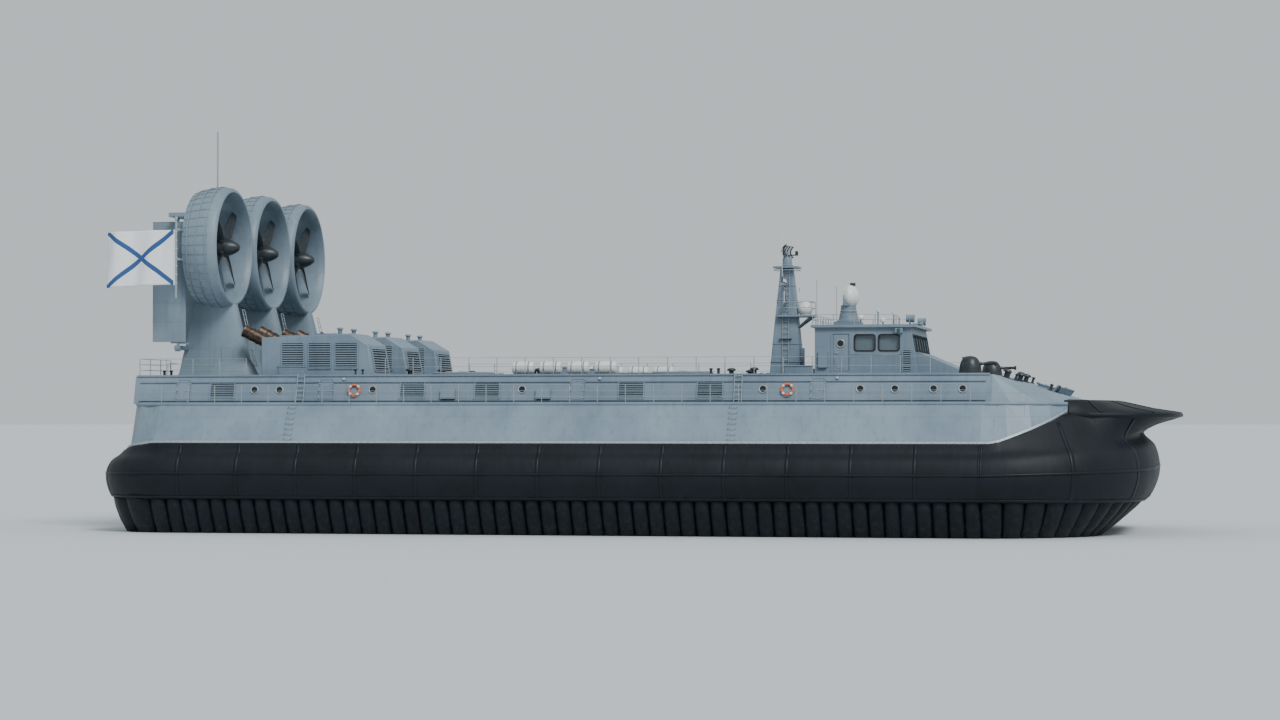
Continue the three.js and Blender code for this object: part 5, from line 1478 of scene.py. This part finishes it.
# Keels of coated cloth that divide the cushion, blown up a little by the air inside them; one lies along
# the centreline and one across
keels = {
    "section": [
        (-0.1, 1.598), (-0.2, 1.2), (-0.22, 0.8), (-0.14, 0.35), (0, 0.27), (0.14, 0.35), (0.22, 0.8),
        (0.2, 1.2), (0.1, 1.598),
    ],
    "along": (6.5, 20, 33, 45, 54),
    "across": (-8.8, -4, 0, 4, 8.8),
    "crossing": 33.15,
}


def makeKeels():
    bm = bmesh.new()
    section = keels["section"]
    rows = [[Vector((x, aft, up)) for x, up in section] for aft in keels["along"]]
    sweepRows(bm, rows, closed=True, caps=True)
    rows = [[Vector((port, keels["crossing"] + x, up)) for x, up in section] for port in keels["across"]]
    sweepRows(bm, rows, closed=True, caps=True)
    makePiece("cushion_keels_cloth", bm, "cloth", replaces=["cushion_keels"], angle=60)


makeKeels()
print("mast, rafts, ensign and keels made")


def addBollards(bm, place):
    addPlate(bm, place, 0.72, 0.3, 0.04, 0.05)
    foot = [(0, 0.03), (0.09, 0.03), (0.075, 0.07), (0.07, 0.28)]
    head = [(0.1, 0.31), (0.1, 0.35), (0.06, 0.37), (0, 0.37)]
    for x in (-0.2, 0.2):
        addLathe(bm, foot + head, place @ Matrix.Translation((x, 0, 0)), sides=24)


def addVentilator(bm, place):
    neck = [(0, 0), (0.2, 0), (0.2, 0.03), (0.13, 0.05), (0.13, 0.3), (0.23, 0.31)]
    addLathe(bm, [*neck, (0.25, 0.35), (0.21, 0.42), (0.1, 0.46), (0, 0.47)], place, sides=28)


def addHatch(plates, metal, place, width, length):
    addPlate(plates, place, width, length, 0.14, 0.1)
    addPlate(plates, place @ Matrix.Translation((0, 0, 0.15)), width + 0.1, length + 0.1, 0.05, 0.13)
    y = length / 2
    for x in (-0.3 * width, 0.3 * width):
        addBlock(metal, (x - 0.05, y - 0.02, 0.1), (x + 0.05, y + 0.12, 0.23), place)
        addBlock(metal, (x - 0.025, -y - 0.1, 0.12), (x + 0.025, -y + 0.06, 0.24), place)
    addBand(metal, 0.1, 0.13, 0.21, 0.235, place, 20)


# Lifebuoy with its four webbing bands, hung flat on a wall
def addLifebuoy(ring, bands, place):
    section = [(math.cos(math.tau * k / 10), math.sin(math.tau * k / 10)) for k in range(10)]
    addLathe(ring, [(0.3 + 0.07 * x, 0.09 + 0.07 * y) for x, y in section], place, sides=32, closed=True)
    for i in range(4):
        rows = []
        for angle in (i * math.pi / 2 + 0.6, i * math.pi / 2 + 0.97):
            spoke = place @ Matrix.Rotation(angle, 4, "Z")
            rows.append([spoke @ Vector((0.3 + 0.075 * x, 0, 0.09 + 0.075 * y)) for x, y in section])
        sweepRows(bands, rows, closed=True)


# Stanchions along a route of points, with lines between them at shares of their height
def makeRailing(name, routes, height, lines=(0.36, 0.68, 1.0), spacing=1.5):
    posts, wires = [], []
    for route in routes:
        for start, end in zip(route, route[1:]):
            start, end = Vector(start), Vector(end)
            count = max(1, round((end - start).length / spacing))
            for i in range(count + (end == Vector(route[-1]))):
                foot = start.lerp(end, i / count)
                posts.append([foot, foot + Vector((0, 0, height))])
        wires += [[Vector(spot) + Vector((0, 0, height * share)) for spot in route] for share in lines]
    makeTubes(name + "_posts", posts, 0.024, "rail")
    makeTubes(name + "_lines", wires, 0.012, "rail")


# Deckhouse wall: it leans in by lean from its foot at the side deck to the roof, which is rise higher
wall = {"port": 9.7, "lean": 0.4, "rise": 1.5}
wallLean = math.degrees(math.atan(wall["lean"] / wall["rise"]))


def onHouse(side, aft, up):
    out = wall["port"] - wall["lean"] * (up - craft["deckEdge"]) / wall["rise"]
    return onWall((side * out, aft, up), (side, 0), wallLean)


# Gunwale along the deck edge as (out, up), and the strip that clamps the skirt to the knuckle as
# (along, out)
trim = {
    "gunwale": (
        (-0.03, 6.78), (0.05, 6.8), (0.08, 6.85), (0.08, 6.92), (0.04, 6.965), (-0.06, 6.97), (-0.08, 6.9),
    ),
    "strip": ((0.01, 0.0), (0.01, 0.035), (0.15, 0.035), (0.15, 0.0)),
    "bolts": 150,
}


# Knuckle of the hull, with the directions up the side from it and away from the side
def knuckleAt(distance):
    out, up, edge = hullEdge(distance)
    knuckle = Vector((out, up))
    rise = (Vector((edge, craft["deckEdge"])) - knuckle).normalized()
    return knuckle, rise, Vector((rise.y, -rise.x))


def makeHullTrim(side):
    hand = "port" if side > 0 else "starboard"
    walk = [mix(apronEnd + 0.04, sideStart, i / 12) for i in range(12)]
    walk += [mix(sideStart, sideEnd, i / 20) for i in range(20)]
    walk += [mix(sideEnd, sternEnd, i / 16) for i in range(17)]
    gunwale, strip, bolts = bmesh.new(), bmesh.new(), bmesh.new()
    edgeRows, stripRows = [], []
    for d in walk:
        edge = hullEdge(d)[2]
        edgeRows.append([offEdge(d, edge + out, up, side) for out, up in trim["gunwale"]])
        knuckle, rise, away = knuckleAt(d)
        corners = [knuckle + rise * along + away * out for along, out in trim["strip"]]
        stripRows.append([offEdge(d, *corner, side) for corner in corners])
    sweepRows(gunwale, edgeRows, closed=True, caps=True)
    sweepRows(strip, stripRows, closed=True, caps=True)
    for i in range(trim["bolts"]):
        d = mix(walk[0], walk[-1], (i + 0.5) / trim["bolts"])
        knuckle, rise, away = knuckleAt(d)
        start = knuckle + rise * 0.08 + away * 0.03
        addRod(bolts, offEdge(d, *start, side), offEdge(d, *(start + away * 0.03), side), 0.028, sides=6)
    makePiece(f"gunwale_{hand}", gunwale, "duct", angle=50)
    makePiece(f"clamp_strip_{hand}", strip, "rail", bevel=0.008)
    makePiece(f"clamp_bolts_{hand}", bolts, "rail")


# Fittings of a deckhouse's side wall, as metres aft of the bow tip
houseSide = {
    "portholes": (10.9, 12.4, 14.4, 16.2, 21.3, 34.2, 42.4, 47.6, 49.0),
    "doors": (18.4, 31.2, 45.0, 53.0),
    "louvres": (24.1, 28.3, 36.1, 40.2, 50.8),
    "lifebuoys": (20.0, 43.4),
    "ladders": (22.6, 46.4),
    "lockers": (33.0, 38.2),
    "lamps": (17.4, 30.0, 44.0),
}


def makeHouseSide(side):
    hand = "port" if side > 0 else "starboard"
    plates, metal, pane, slats, dark, buoys, bands, lamps = (bmesh.new() for _ in range(8))
    for aft in houseSide["portholes"]:
        addPorthole(metal, pane, onHouse(side, aft, 7.65), 0.17)
    for aft in houseSide["doors"]:
        addDoor(plates, metal, onHouse(side, aft, 7.58), 0.72, 1.2)
    for aft in houseSide["louvres"]:
        addLouvre(plates, slats, dark, onHouse(side, aft, 7.6), 1.3, 0.9, 9)
    for aft in houseSide["lifebuoys"]:
        addLifebuoy(buoys, bands, onHouse(side, aft, 7.6))
    for aft in houseSide["lockers"]:
        place = onHouse(side, aft, 7.4)
        addPlate(plates, place, 0.8, 0.6, 0.22, 0.04)
        addPlate(plates, place, 0.7, 0.5, 0.24, 0.04)
    for aft in houseSide["lamps"]:
        place = onHouse(side, aft, 8.2)
        addRod(metal, (0, 0, 0), (0, 0, 0.1), 0.08, sides=16, turn=place)
        addRod(lamps, (0, 0, 0.1), (0, 0, 0.2), 0.065, 0.04, sides=16, turn=place)
    addBlock(plates, (side * 9.34 - 0.04, 9.5, 8.38), (side * 9.34 + 0.02, 55.7, 8.47))
    makePiece(f"house_side_{hand}_plates", plates, "house", angle=40)
    makePiece(f"house_side_{hand}_metal", metal, "rail")
    makePiece(f"house_side_{hand}_panes", pane, "darkGlass")
    makePiece(f"house_side_{hand}_slats", slats, "duct")
    # black sheet behind the louvres: painted shade, in the rubber finish
    makePiece(f"house_side_{hand}_shade", dark, "rubber")
    makePiece(f"house_side_{hand}_lifebuoys", buoys, "buoy")
    makePiece(f"house_side_{hand}_bands", bands, "gelCoat")
    makePiece(f"house_side_{hand}_lamps", lamps, "lens")
    rungs = []
    grip = ((-0.2, 0), (-0.2, 0.14), (0.2, 0.14), (0.2, 0))
    for aft in houseSide["ladders"]:
        foot = onHouse(side, aft, 6.95)
        rungs += [[foot @ Vector((x, y, 0.12)) for y in (0, 1.6)] for x in (-0.2, 0.2)]
        rungs += [[foot @ Vector((x, 0.12 + i * 0.26, 0.12)) for x in (-0.2, 0.2)] for i in range(6)]
        for i in range(7):
            up = 5.05 + i * 0.28
            out = plan["half"] + mix(2.0, 0.9, (up - 4.8) / 2.1)
            rungs.append([(side * (out + reach), aft + x, up) for x, reach in grip])
    pipes = [[onHouse(side, aft, up) @ Vector((0, 0, 0.06)) for aft in (9.7, 55.5)] for up in (8.05, 7.06)]
    makeTubes(f"house_side_{hand}_ladders", rungs, 0.02, "rail")
    makeTubes(f"house_side_{hand}_pipes", pipes, 0.028, "house", sides=2)
    deckEdge = [(side * 10.8, aft, craft["deckEdge"]) for aft in (10.4, 53.8)]
    makeRailing(f"side_railing_{hand}", [deckEdge], 1.0)
    roofEdge = [(side * 9.15, aft, craft["roof"]) for aft in (12.6, 41.8)]
    makeRailing(f"roof_railing_{hand}", [roofEdge], 0.95, (0.5, 1.0))


for side in (1, -1):
    makeHullTrim(side)
    makeHouseSide(side)


slope = {"fore": 5.25, "low": 7.12, "aft": 9.4, "high": craft["roof"]}


# On the foredeck's sloping top, or on the flat roof aft of it: X to port, Y aft and Z out of the deck
def onDeck(port, aft):
    if aft >= slope["aft"]:
        return Matrix.Translation((port, aft, slope["high"]))
    up = mix(slope["low"], slope["high"], (aft - slope["fore"]) / (slope["aft"] - slope["fore"]))
    tilt = math.atan((slope["high"] - slope["low"]) / (slope["aft"] - slope["fore"]))
    return Matrix.Translation((port, aft, up)) @ Matrix.Rotation(tilt, 4, "X")


# Deck fittings as (port, aft), each also on the other side where it stands off the centreline
deckItems = {
    "bollards": ((3.4, 6.6), (6.6, 8.6), (8.6, 24.0), (8.6, 43.4), (6.2, 55.1)),
    "ventilators": (
        (2.3, 8.5), (5.4, 9.0), (3.2, 24.0), (3.2, 35.0), (5.4, 22.4), (5.4, 34.2), (3.4, 40.2),
        (5.6, 41.4),
    ),
    "hatches": ((0, 7.2), (5.4, 30.6), (2.2, 37.6), (0, 26.2), (3.5, 53.6)),
    "lockers": ((5.4, 20.0), (3.0, 33.2), (8.4, 47.2)),
}
# Cable trunk along the roof with its clips, and the section of the foredeck's breakwater as (aft, up)
trunk = {"port": 4.9, "fore": 20.2, "aft": 42.2, "clips": 12}
breakwater = ((0, -0.02), (-0.14, 0.34), (-0.1, 0.36), (0.06, -0.02))


def makeDeckItems():
    steel, plates, metal = bmesh.new(), bmesh.new(), bmesh.new()
    for kind, spots in deckItems.items():
        for port, aft in spots:
            for side in (1, -1) if port else (1,):
                place = onDeck(side * port, aft)
                if kind == "bollards":
                    addBollards(steel, place @ Matrix.Rotation(math.pi / 2, 4, "Z"))
                elif kind == "ventilators":
                    addVentilator(steel, place)
                elif kind == "hatches":
                    addHatch(plates, metal, place, 0.95, 0.95)
                else:
                    addPlate(plates, place, 0.6, 1.5, 0.5, 0.05)
                    addPlate(plates, place @ Matrix.Translation((0, 0, 0.5)), 0.68, 1.58, 0.05, 0.06)
    roof = craft["roof"]
    for side in (1, -1):
        x = side * trunk["port"]
        addBlock(plates, (x - 0.16, trunk["fore"], roof), (x + 0.16, trunk["aft"], roof + 0.1))
        for i in range(trunk["clips"]):
            aft = trunk["fore"] + 0.8 + i * 1.85
            addBlock(metal, (x - 0.2, aft - 0.04, roof), (x + 0.2, aft + 0.04, roof + 0.12))
        feet = [onDeck(side * port, aft) for port, aft in ((0, 5.9), (3.9, 6.6))]
        rows = [[foot @ Vector((0, y, z)) for y, z in breakwater] for foot in feet]
        sweepRows(plates, rows, closed=True, caps=True)
    addFrame(metal, Matrix.Translation((0, 30.6, roof)), 2.84, 3.24, 0.1, 0.12, 0.06)
    for side in (-1, 1):
        for i in range(5):
            aft = 29.4 + i * 0.6
            addBlock(metal, (side * 1.36, aft - 0.04, 8.5), (side * 1.48, aft + 0.04, 8.7))
    makePiece("deck_steel", steel, "weapon", angle=40)
    makePiece("deck_plates", plates, "house", angle=40)
    makePiece("deck_metal", metal, "rail")


makeDeckItems()


bridge = {
    "fore": 13.7,
    "foreTop": 14.15,
    "half": 4.2,
    "top": 11.0,
    "roof": 11.14,
    "windowUp": 10.175,
    "windows": (-3.25, -1.95, -0.65, 0.65, 1.95, 3.25),
    "sideWindows": (15.3, 16.6),
}


def onBridgeFront(port, up):
    rise, back = bridge["top"] - craft["roof"], bridge["foreTop"] - bridge["fore"]
    aft = bridge["fore"] + back * (up - craft["roof"]) / rise
    return onWall((port, aft, up), (0, -1), math.degrees(math.atan(back / rise)))


def makeBridgeDetails():
    frames, arms, plates, metal, slats, dark, lamps = (bmesh.new() for _ in range(7))
    half, roof, windowUp = bridge["half"], bridge["roof"], bridge["windowUp"]
    for port in bridge["windows"]:
        pane = onBridgeFront(port, windowUp)
        addFrame(frames, pane, 0.98, 0.8, 0.07, 0.035, 0.1)
        addRod(arms, (0.1, -0.5, 0.03), (-0.12, -0.08, 0.06), 0.014, sides=6, turn=pane)
        addBlock(arms, (-0.15, -0.36, 0.035), (-0.11, 0.24, 0.055), pane)
        addBlock(arms, (0.04, -0.56, 0), (0.16, -0.46, 0.08), pane)
    for side in (1, -1):
        hand, glow = ("port", "red") if side > 0 else ("starboard", "green")
        wallX, outX = side * half, side * (half + 0.45)
        for aft in bridge["sideWindows"]:
            addFrame(frames, onWall((wallX, aft, windowUp), (side, 0)), 1.04, 0.8, 0.07, 0.035, 0.1)
        addLouvre(plates, slats, dark, onWall((wallX, 14.34, 9.18), (side, 0)), 0.4, 1.15, 10)
        addFrame(plates, onWall((wallX, 17.9, 9.63), (side, 0)), 0.96, 2.06, 0.05, 0.03, 0.04)
        addBlock(plates, (wallX, 17.45, 8.5), (outX, 18.4, 8.56))
        for aft in (17.55, 18.3):
            addBlock(plates, (wallX, aft - 0.03, 8.4), (outX, aft + 0.03, 8.5))
        addPlate(plates, onWall((wallX, 18.85, 9.3), (side, 0)), 0.5, 0.9, 0.16, 0.04)
        addPlate(plates, onWall((wallX, 14.75, 10.82), (side, 0)), 0.42, 0.26, 0.2, 0.03)
        lamp = bmesh.new()
        x = side * (half + 0.26)
        addRod(lamp, (x, 14.75, 10.74), (x, 14.75, 10.92), 0.075, sides=20)
        makePiece(f"side_light_{hand}", lamp, glow)
    for port in (-3.0, 3.0):
        barrel = Matrix.Translation((port, 14.12, 11.5)) @ Matrix.Rotation(math.pi / 2, 4, "X")
        shade = [(0.17, -0.02), (0.22, -0.02), (0.22, 0.05), (0.2, 0.07), (0.17, 0.06)]
        addLathe(plates, shade, barrel, sides=32, closed=True)
        addLathe(lamps, [(0, 0.045), (0.1, 0.038), (0.175, 0.01), (0, 0.005)], barrel, sides=32)
        for x in (-0.23, 0.23):
            addBlock(plates, (port + x - 0.015, 14.27, 11.2), (port + x + 0.015, 14.33, 11.52))
        addBlock(plates, (port - 0.24, 14.26, 11.2), (port + 0.24, 14.34, 11.23))
    for x in (-0.16, 0.16):
        horn = Matrix.Translation((x, 14.25, 11.3)) @ Matrix.Rotation(math.pi / 2, 4, "X")
        outside = [(0, -0.2), (0.05, -0.2), (0.05, 0.0), (0.03, 0.02), (0.04, 0.2), (0.1, 0.34)]
        addLathe(metal, [*outside, (0.08, 0.34), (0.02, 0.2), (0, 0.2)], horn, sides=20)
    addBlock(metal, (-0.25, 14.2, 11.14), (0.25, 14.35, 11.24))
    lampPosts = ((-3.6, 15.1, 0.55), (-3.6, 15.95, 0.7), (3.6, 15.6, 0.6))
    domePosts = ((2.6, 16.4, 0.35), (-2.6, 17.0, 0.35))
    for port, aft, high in lampPosts + domePosts:
        addRod(plates, (port, aft, roof - 0.01), (port, aft, roof + high), 0.04, sides=12)
        addRod(plates, (port, aft, roof - 0.01), (port, aft, roof + 0.03), 0.12, sides=16)
    makePiece("bridge_window_frames", frames, "rubber")
    makePiece("bridge_wipers", arms, "rubber")
    makePiece("bridge_plates", plates, "house", angle=40)
    makePiece("bridge_metal", metal, "rail")
    makePiece("bridge_vent_slats", slats, "duct")
    # black sheet behind the vent slats: painted shade, in the rubber finish
    makePiece("bridge_vent_shade", dark, "rubber")
    domes = bmesh.new()
    profile = [(0, -0.06), (0.17, -0.06), (0.19, 0), (0.17, 0.1), (0.1, 0.17), (0, 0.19)]
    for port, aft, high in domePosts:
        addLathe(domes, profile, Matrix.Translation((port, aft, roof + high + 0.06)), sides=28)
    makePiece("bridge_domes", domes, "gelCoat")
    profile = [(0, 0), (0.09, 0), (0.09, 0.14), (0.05, 0.18), (0, 0.19)]
    for port, aft, high in lampPosts:
        addLathe(lamps, profile, Matrix.Translation((port, aft, roof + high)), sides=24)
    makePiece("bridge_lamps", lamps, "lens")
    route = [(x, aft, roof) for x, aft in ((4.3, 14.9), (4.3, 19.4), (-4.3, 19.4), (-4.3, 14.9))]
    makeRailing("bridge_roof_railing", [route], 0.55, (0.5, 1.0), 1.1)
    grips = []
    bar = ((0, 14.75), (0.09, 14.75), (0.09, 17.3), (0, 17.3))
    for side in (1, -1):
        grips.append([(side * (half + out), aft, 9.55) for out, aft in bar])
        grips.append([(side * 4.1, 19.2, roof), (side * 4.1, 19.2, 13.6)])
    ladder = [[(x, 19.42, up) for up in (8.42, 11.5)] for x in (-0.2, 0.2)]
    ladder += [[(x, 19.42, 8.7 + i * 0.3) for x in (-0.2, 0.2)] for i in range(9)]
    makeTubes("bridge_grips", grips + ladder, 0.018, "rail")


makeBridgeDetails()


def makeBridgeDoors():
    for side, hand in ((1, "port"), (-1, "starboard")):
        plates, metal, pane = bmesh.new(), bmesh.new(), bmesh.new()
        leaf = onWall((side * bridge["half"], 17.91, 9.64), (side, 0))
        lever = side * 0.26
        addPlate(plates, leaf @ Matrix.Translation((0, -0.55, 0)), 0.5, 0.6, 0.02, 0.06)
        addPorthole(metal, pane, leaf @ Matrix.Translation((0, 0.5, 0)), 0.17)
        addRod(metal, (lever, 0, 0), (lever, 0, 0.07), 0.03, sides=12, turn=leaf)
        addRod(metal, (lever, 0, 0.06), (lever - side * 0.2, -0.04, 0.06), 0.014, sides=8, turn=leaf)
        addRod(metal, (lever, -0.3, 0.06), (lever, -0.65, 0.06), 0.014, sides=8, turn=leaf)
        for y in (-0.3, -0.65):
            addRod(metal, (lever, y, 0), (lever, y, 0.065), 0.014, sides=8, turn=leaf)
        body = f"bridge_door_{hand}"
        makePiece(body + "_panel", plates, "house", body)
        makePiece(body + "_fittings", metal, "rail", body)
        makePiece(body + "_pane", pane, "darkGlass", body)


makeBridgeDoors()
print("deckhouse, deck and bridge fittings made")


# Stern: doors and grilles in the deckhouses' after ends, lamps and a beam over the ramp, and ladders up the
# transom
stern = {
    "louvres": (8.2, 6.2),
    "doors": 7.2,
    "lamps": 2.9,
    "ramp": 2.75,
    "lugs": (4.9, 6.0),
    "ladder": (3.5, 3.9),
    "rungs": 14,
    "railing": ((4.2, 55.65), (9.1, 55.65), (9.1, 49.6)),
}


def makeStern():
    plates, metal, slats, dark, lamps = (bmesh.new() for _ in range(5))
    face, half = plan["stern"], stern["ramp"]
    for side in (1, -1):
        for port in stern["louvres"]:
            addLouvre(plates, slats, dark, onWall((side * port, face, 7.65), (0, 1)), 1.5, 0.9, 9)
        door = onWall((side * stern["doors"], face, 5.6), (0, 1))
        addPlate(plates, door, 1.0, 1.4, 0.05, 0.15)
        addFrame(plates, door, 1.06, 1.46, 0.05, 0.03, 0.18)
        lamp = onWall((side * stern["lamps"], face, 7.15), (0, 1), -25)
        addPlate(metal, lamp, 0.34, 0.24, 0.16, 0.03)
        addPlate(lamps, lamp @ Matrix.Translation((0, 0, 0.16)), 0.28, 0.18, 0.02, 0.02)
    addBlock(plates, (-half, face, 6.62), (half, face + 0.12, 6.78))
    for side in (1, -1):
        addBlock(plates, (side * (half - 0.15), face, 4.3), (side * (half - 0.01), face + 0.1, 6.7))
        for up in stern["lugs"]:
            near, far = side * (half - 0.17), side * (half + 0.01)
            addBlock(metal, (near, face + 0.08, up), (far, face + 0.18, up + 0.2))
    addFrame(plates, onWall((0, face, 7.55), (0, 1)), 1.1, 0.7, 0.06, 0.05, 0.1)
    makePiece("stern_plates", plates, "front", angle=40)
    makePiece("stern_metal", metal, "rail")
    makePiece("stern_slats", slats, "duct")
    # black sheets behind the louvres: painted shade, in the rubber finish
    makePiece("stern_shade", dark, "rubber")
    makePiece("stern_lamps", lamps, "lens")
    ladders = []
    aft = face + 0.13
    for side in (1, -1):
        stiles = [side * x for x in stern["ladder"]]
        ladders += [[(x, aft, 4.3), (x, aft, 9.2), (x, 55.5, 9.2)] for x in stiles]
        ladders += [[(x, aft, 4.5 + i * 0.3) for x in stiles] for i in range(stern["rungs"])]
    makeTubes("stern_ladders", ladders, 0.02, "rail")
    routes = [[(side * x, aft, craft["roof"]) for x, aft in stern["railing"]] for side in (1, -1)]
    makeRailing("stern_railing", routes, 0.95)


makeStern()


# Ramps: tread bars on the driving side and seals along the edges. inward is 1 where the hold lies aft of
# the ramp, and free is how far up the ramp the bars reach
hingeUp = 3.4
ramps = {
    "bow_ramp": {"aft": 3.66, "inward": 1, "half": 3.1, "free": 1.45},
    "stern_ramp": {"aft": 55.94, "inward": -1, "half": 2.5, "free": 2.85},
}


def makeRampDetails():
    for node, ramp in ramps.items():
        bars, seals = bmesh.new(), bmesh.new()
        inward, half, free = ramp["inward"], ramp["half"], ramp["free"]
        face = ramp["aft"] + inward * 0.18
        count = round((free - 0.3) / 0.16)
        for i in range(count):
            up = hingeUp + mix(0.3, free, (i + 0.5) / count)
            for x in (-0.52, 0.52):
                low, high = (x - 0.4) * half, (x + 0.4) * half
                addBlock(bars, (low, face, up - 0.02), (high, face + inward * 0.03, up + 0.02))
        for side in (-1, 1):
            near = (side * (half - 0.006), face - inward * 0.02, hingeUp + 0.2)
            addBlock(seals, near, (side * (half - 0.06), face + inward * 0.012, hingeUp + 2.9))
        makePiece(node + "_treads", bars, "deck", node)
        makePiece(node + "_seals", seals, "rubber", node)


makeRampDetails()


# Hold: frames along the walls, lashing pots in the lane and round lights overhead. ribs and lamps are the
# first one, the spacing and the count
hold = {
    "half": 4.61,
    "deck": 3.35,
    "top": 8.1,
    "ribs": (11.4, 1.5, 29),
    "stringers": (4.6, 6.2, 7.7),
    "pots": (-3.4, -1.7, 0, 1.7, 3.4),
    "lamps": (13.0, 4, 11),
    "lampPort": 2.3,
}


def makeHold():
    ribs, pots, lamps = bmesh.new(), bmesh.new(), bmesh.new()
    half, deck, top = hold["half"], hold["deck"], hold["top"]
    pot = [(0, 0.012), (0.07, 0.012), (0.08, 0.022), (0.11, 0.022), (0.12, 0)]
    first, spacing, count = hold["ribs"]
    for i in range(count):
        aft = first + i * spacing
        for side in (1, -1):
            addBlock(ribs, (side * (half - 0.045), aft - 0.07, deck - 0.03), (side * half, aft + 0.07, top))
        for port in hold["pots"]:
            addLathe(pots, pot, Matrix.Translation((port, aft + 0.75, deck)), sides=12)
    first, spacing, count = hold["lamps"]
    for side in (1, -1):
        for up in hold["stringers"]:
            addBlock(ribs, (side * (half - 0.04), 10.6, up - 0.05), (side * half, 54.9, up + 0.05))
        for i in range(count):
            spot = Matrix.Translation((side * hold["lampPort"], first + i * spacing, top))
            addLathe(lamps, [(0, -0.015), (0.16, -0.015), (0.18, 0), (0, 0)], spot, sides=20)
    makePiece("hold_ribs", ribs, "house")
    makePiece("hold_lashing_pots", pots, "rail")
    makePiece("hold_lamps", lamps, "lens")


makeHold()
print("stern, ramps and hold dressed")


# CAD pieces that keep their shape take a finish
kept = {
    "hold": ["raft"],
    "hull": ["hull_port", "hull_starboard", "foredeck"],
    "house": [
        "deckhouse_port",
        "deckhouse_starboard",
        "wheelhouse_walls",
        "wheelhouse_roof",
        "bridge_door_port",
        "bridge_door_starboard",
    ],
    "front": ["stern_frame"],
    "deck": ["hold_roof", "bow_ramp", "bow_ramp_flap", "stern_ramp"],
    "glass": ["wheelhouse_glass"],
    "console": ["bridge_console"],
    "rail": ["ensign_staff"],
}
for finish, nodes in kept.items():
    for node in nodes:
        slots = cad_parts[node].data.materials
        slots.clear()
        slots.append(finishes[finish])
print("CAD pieces finished")
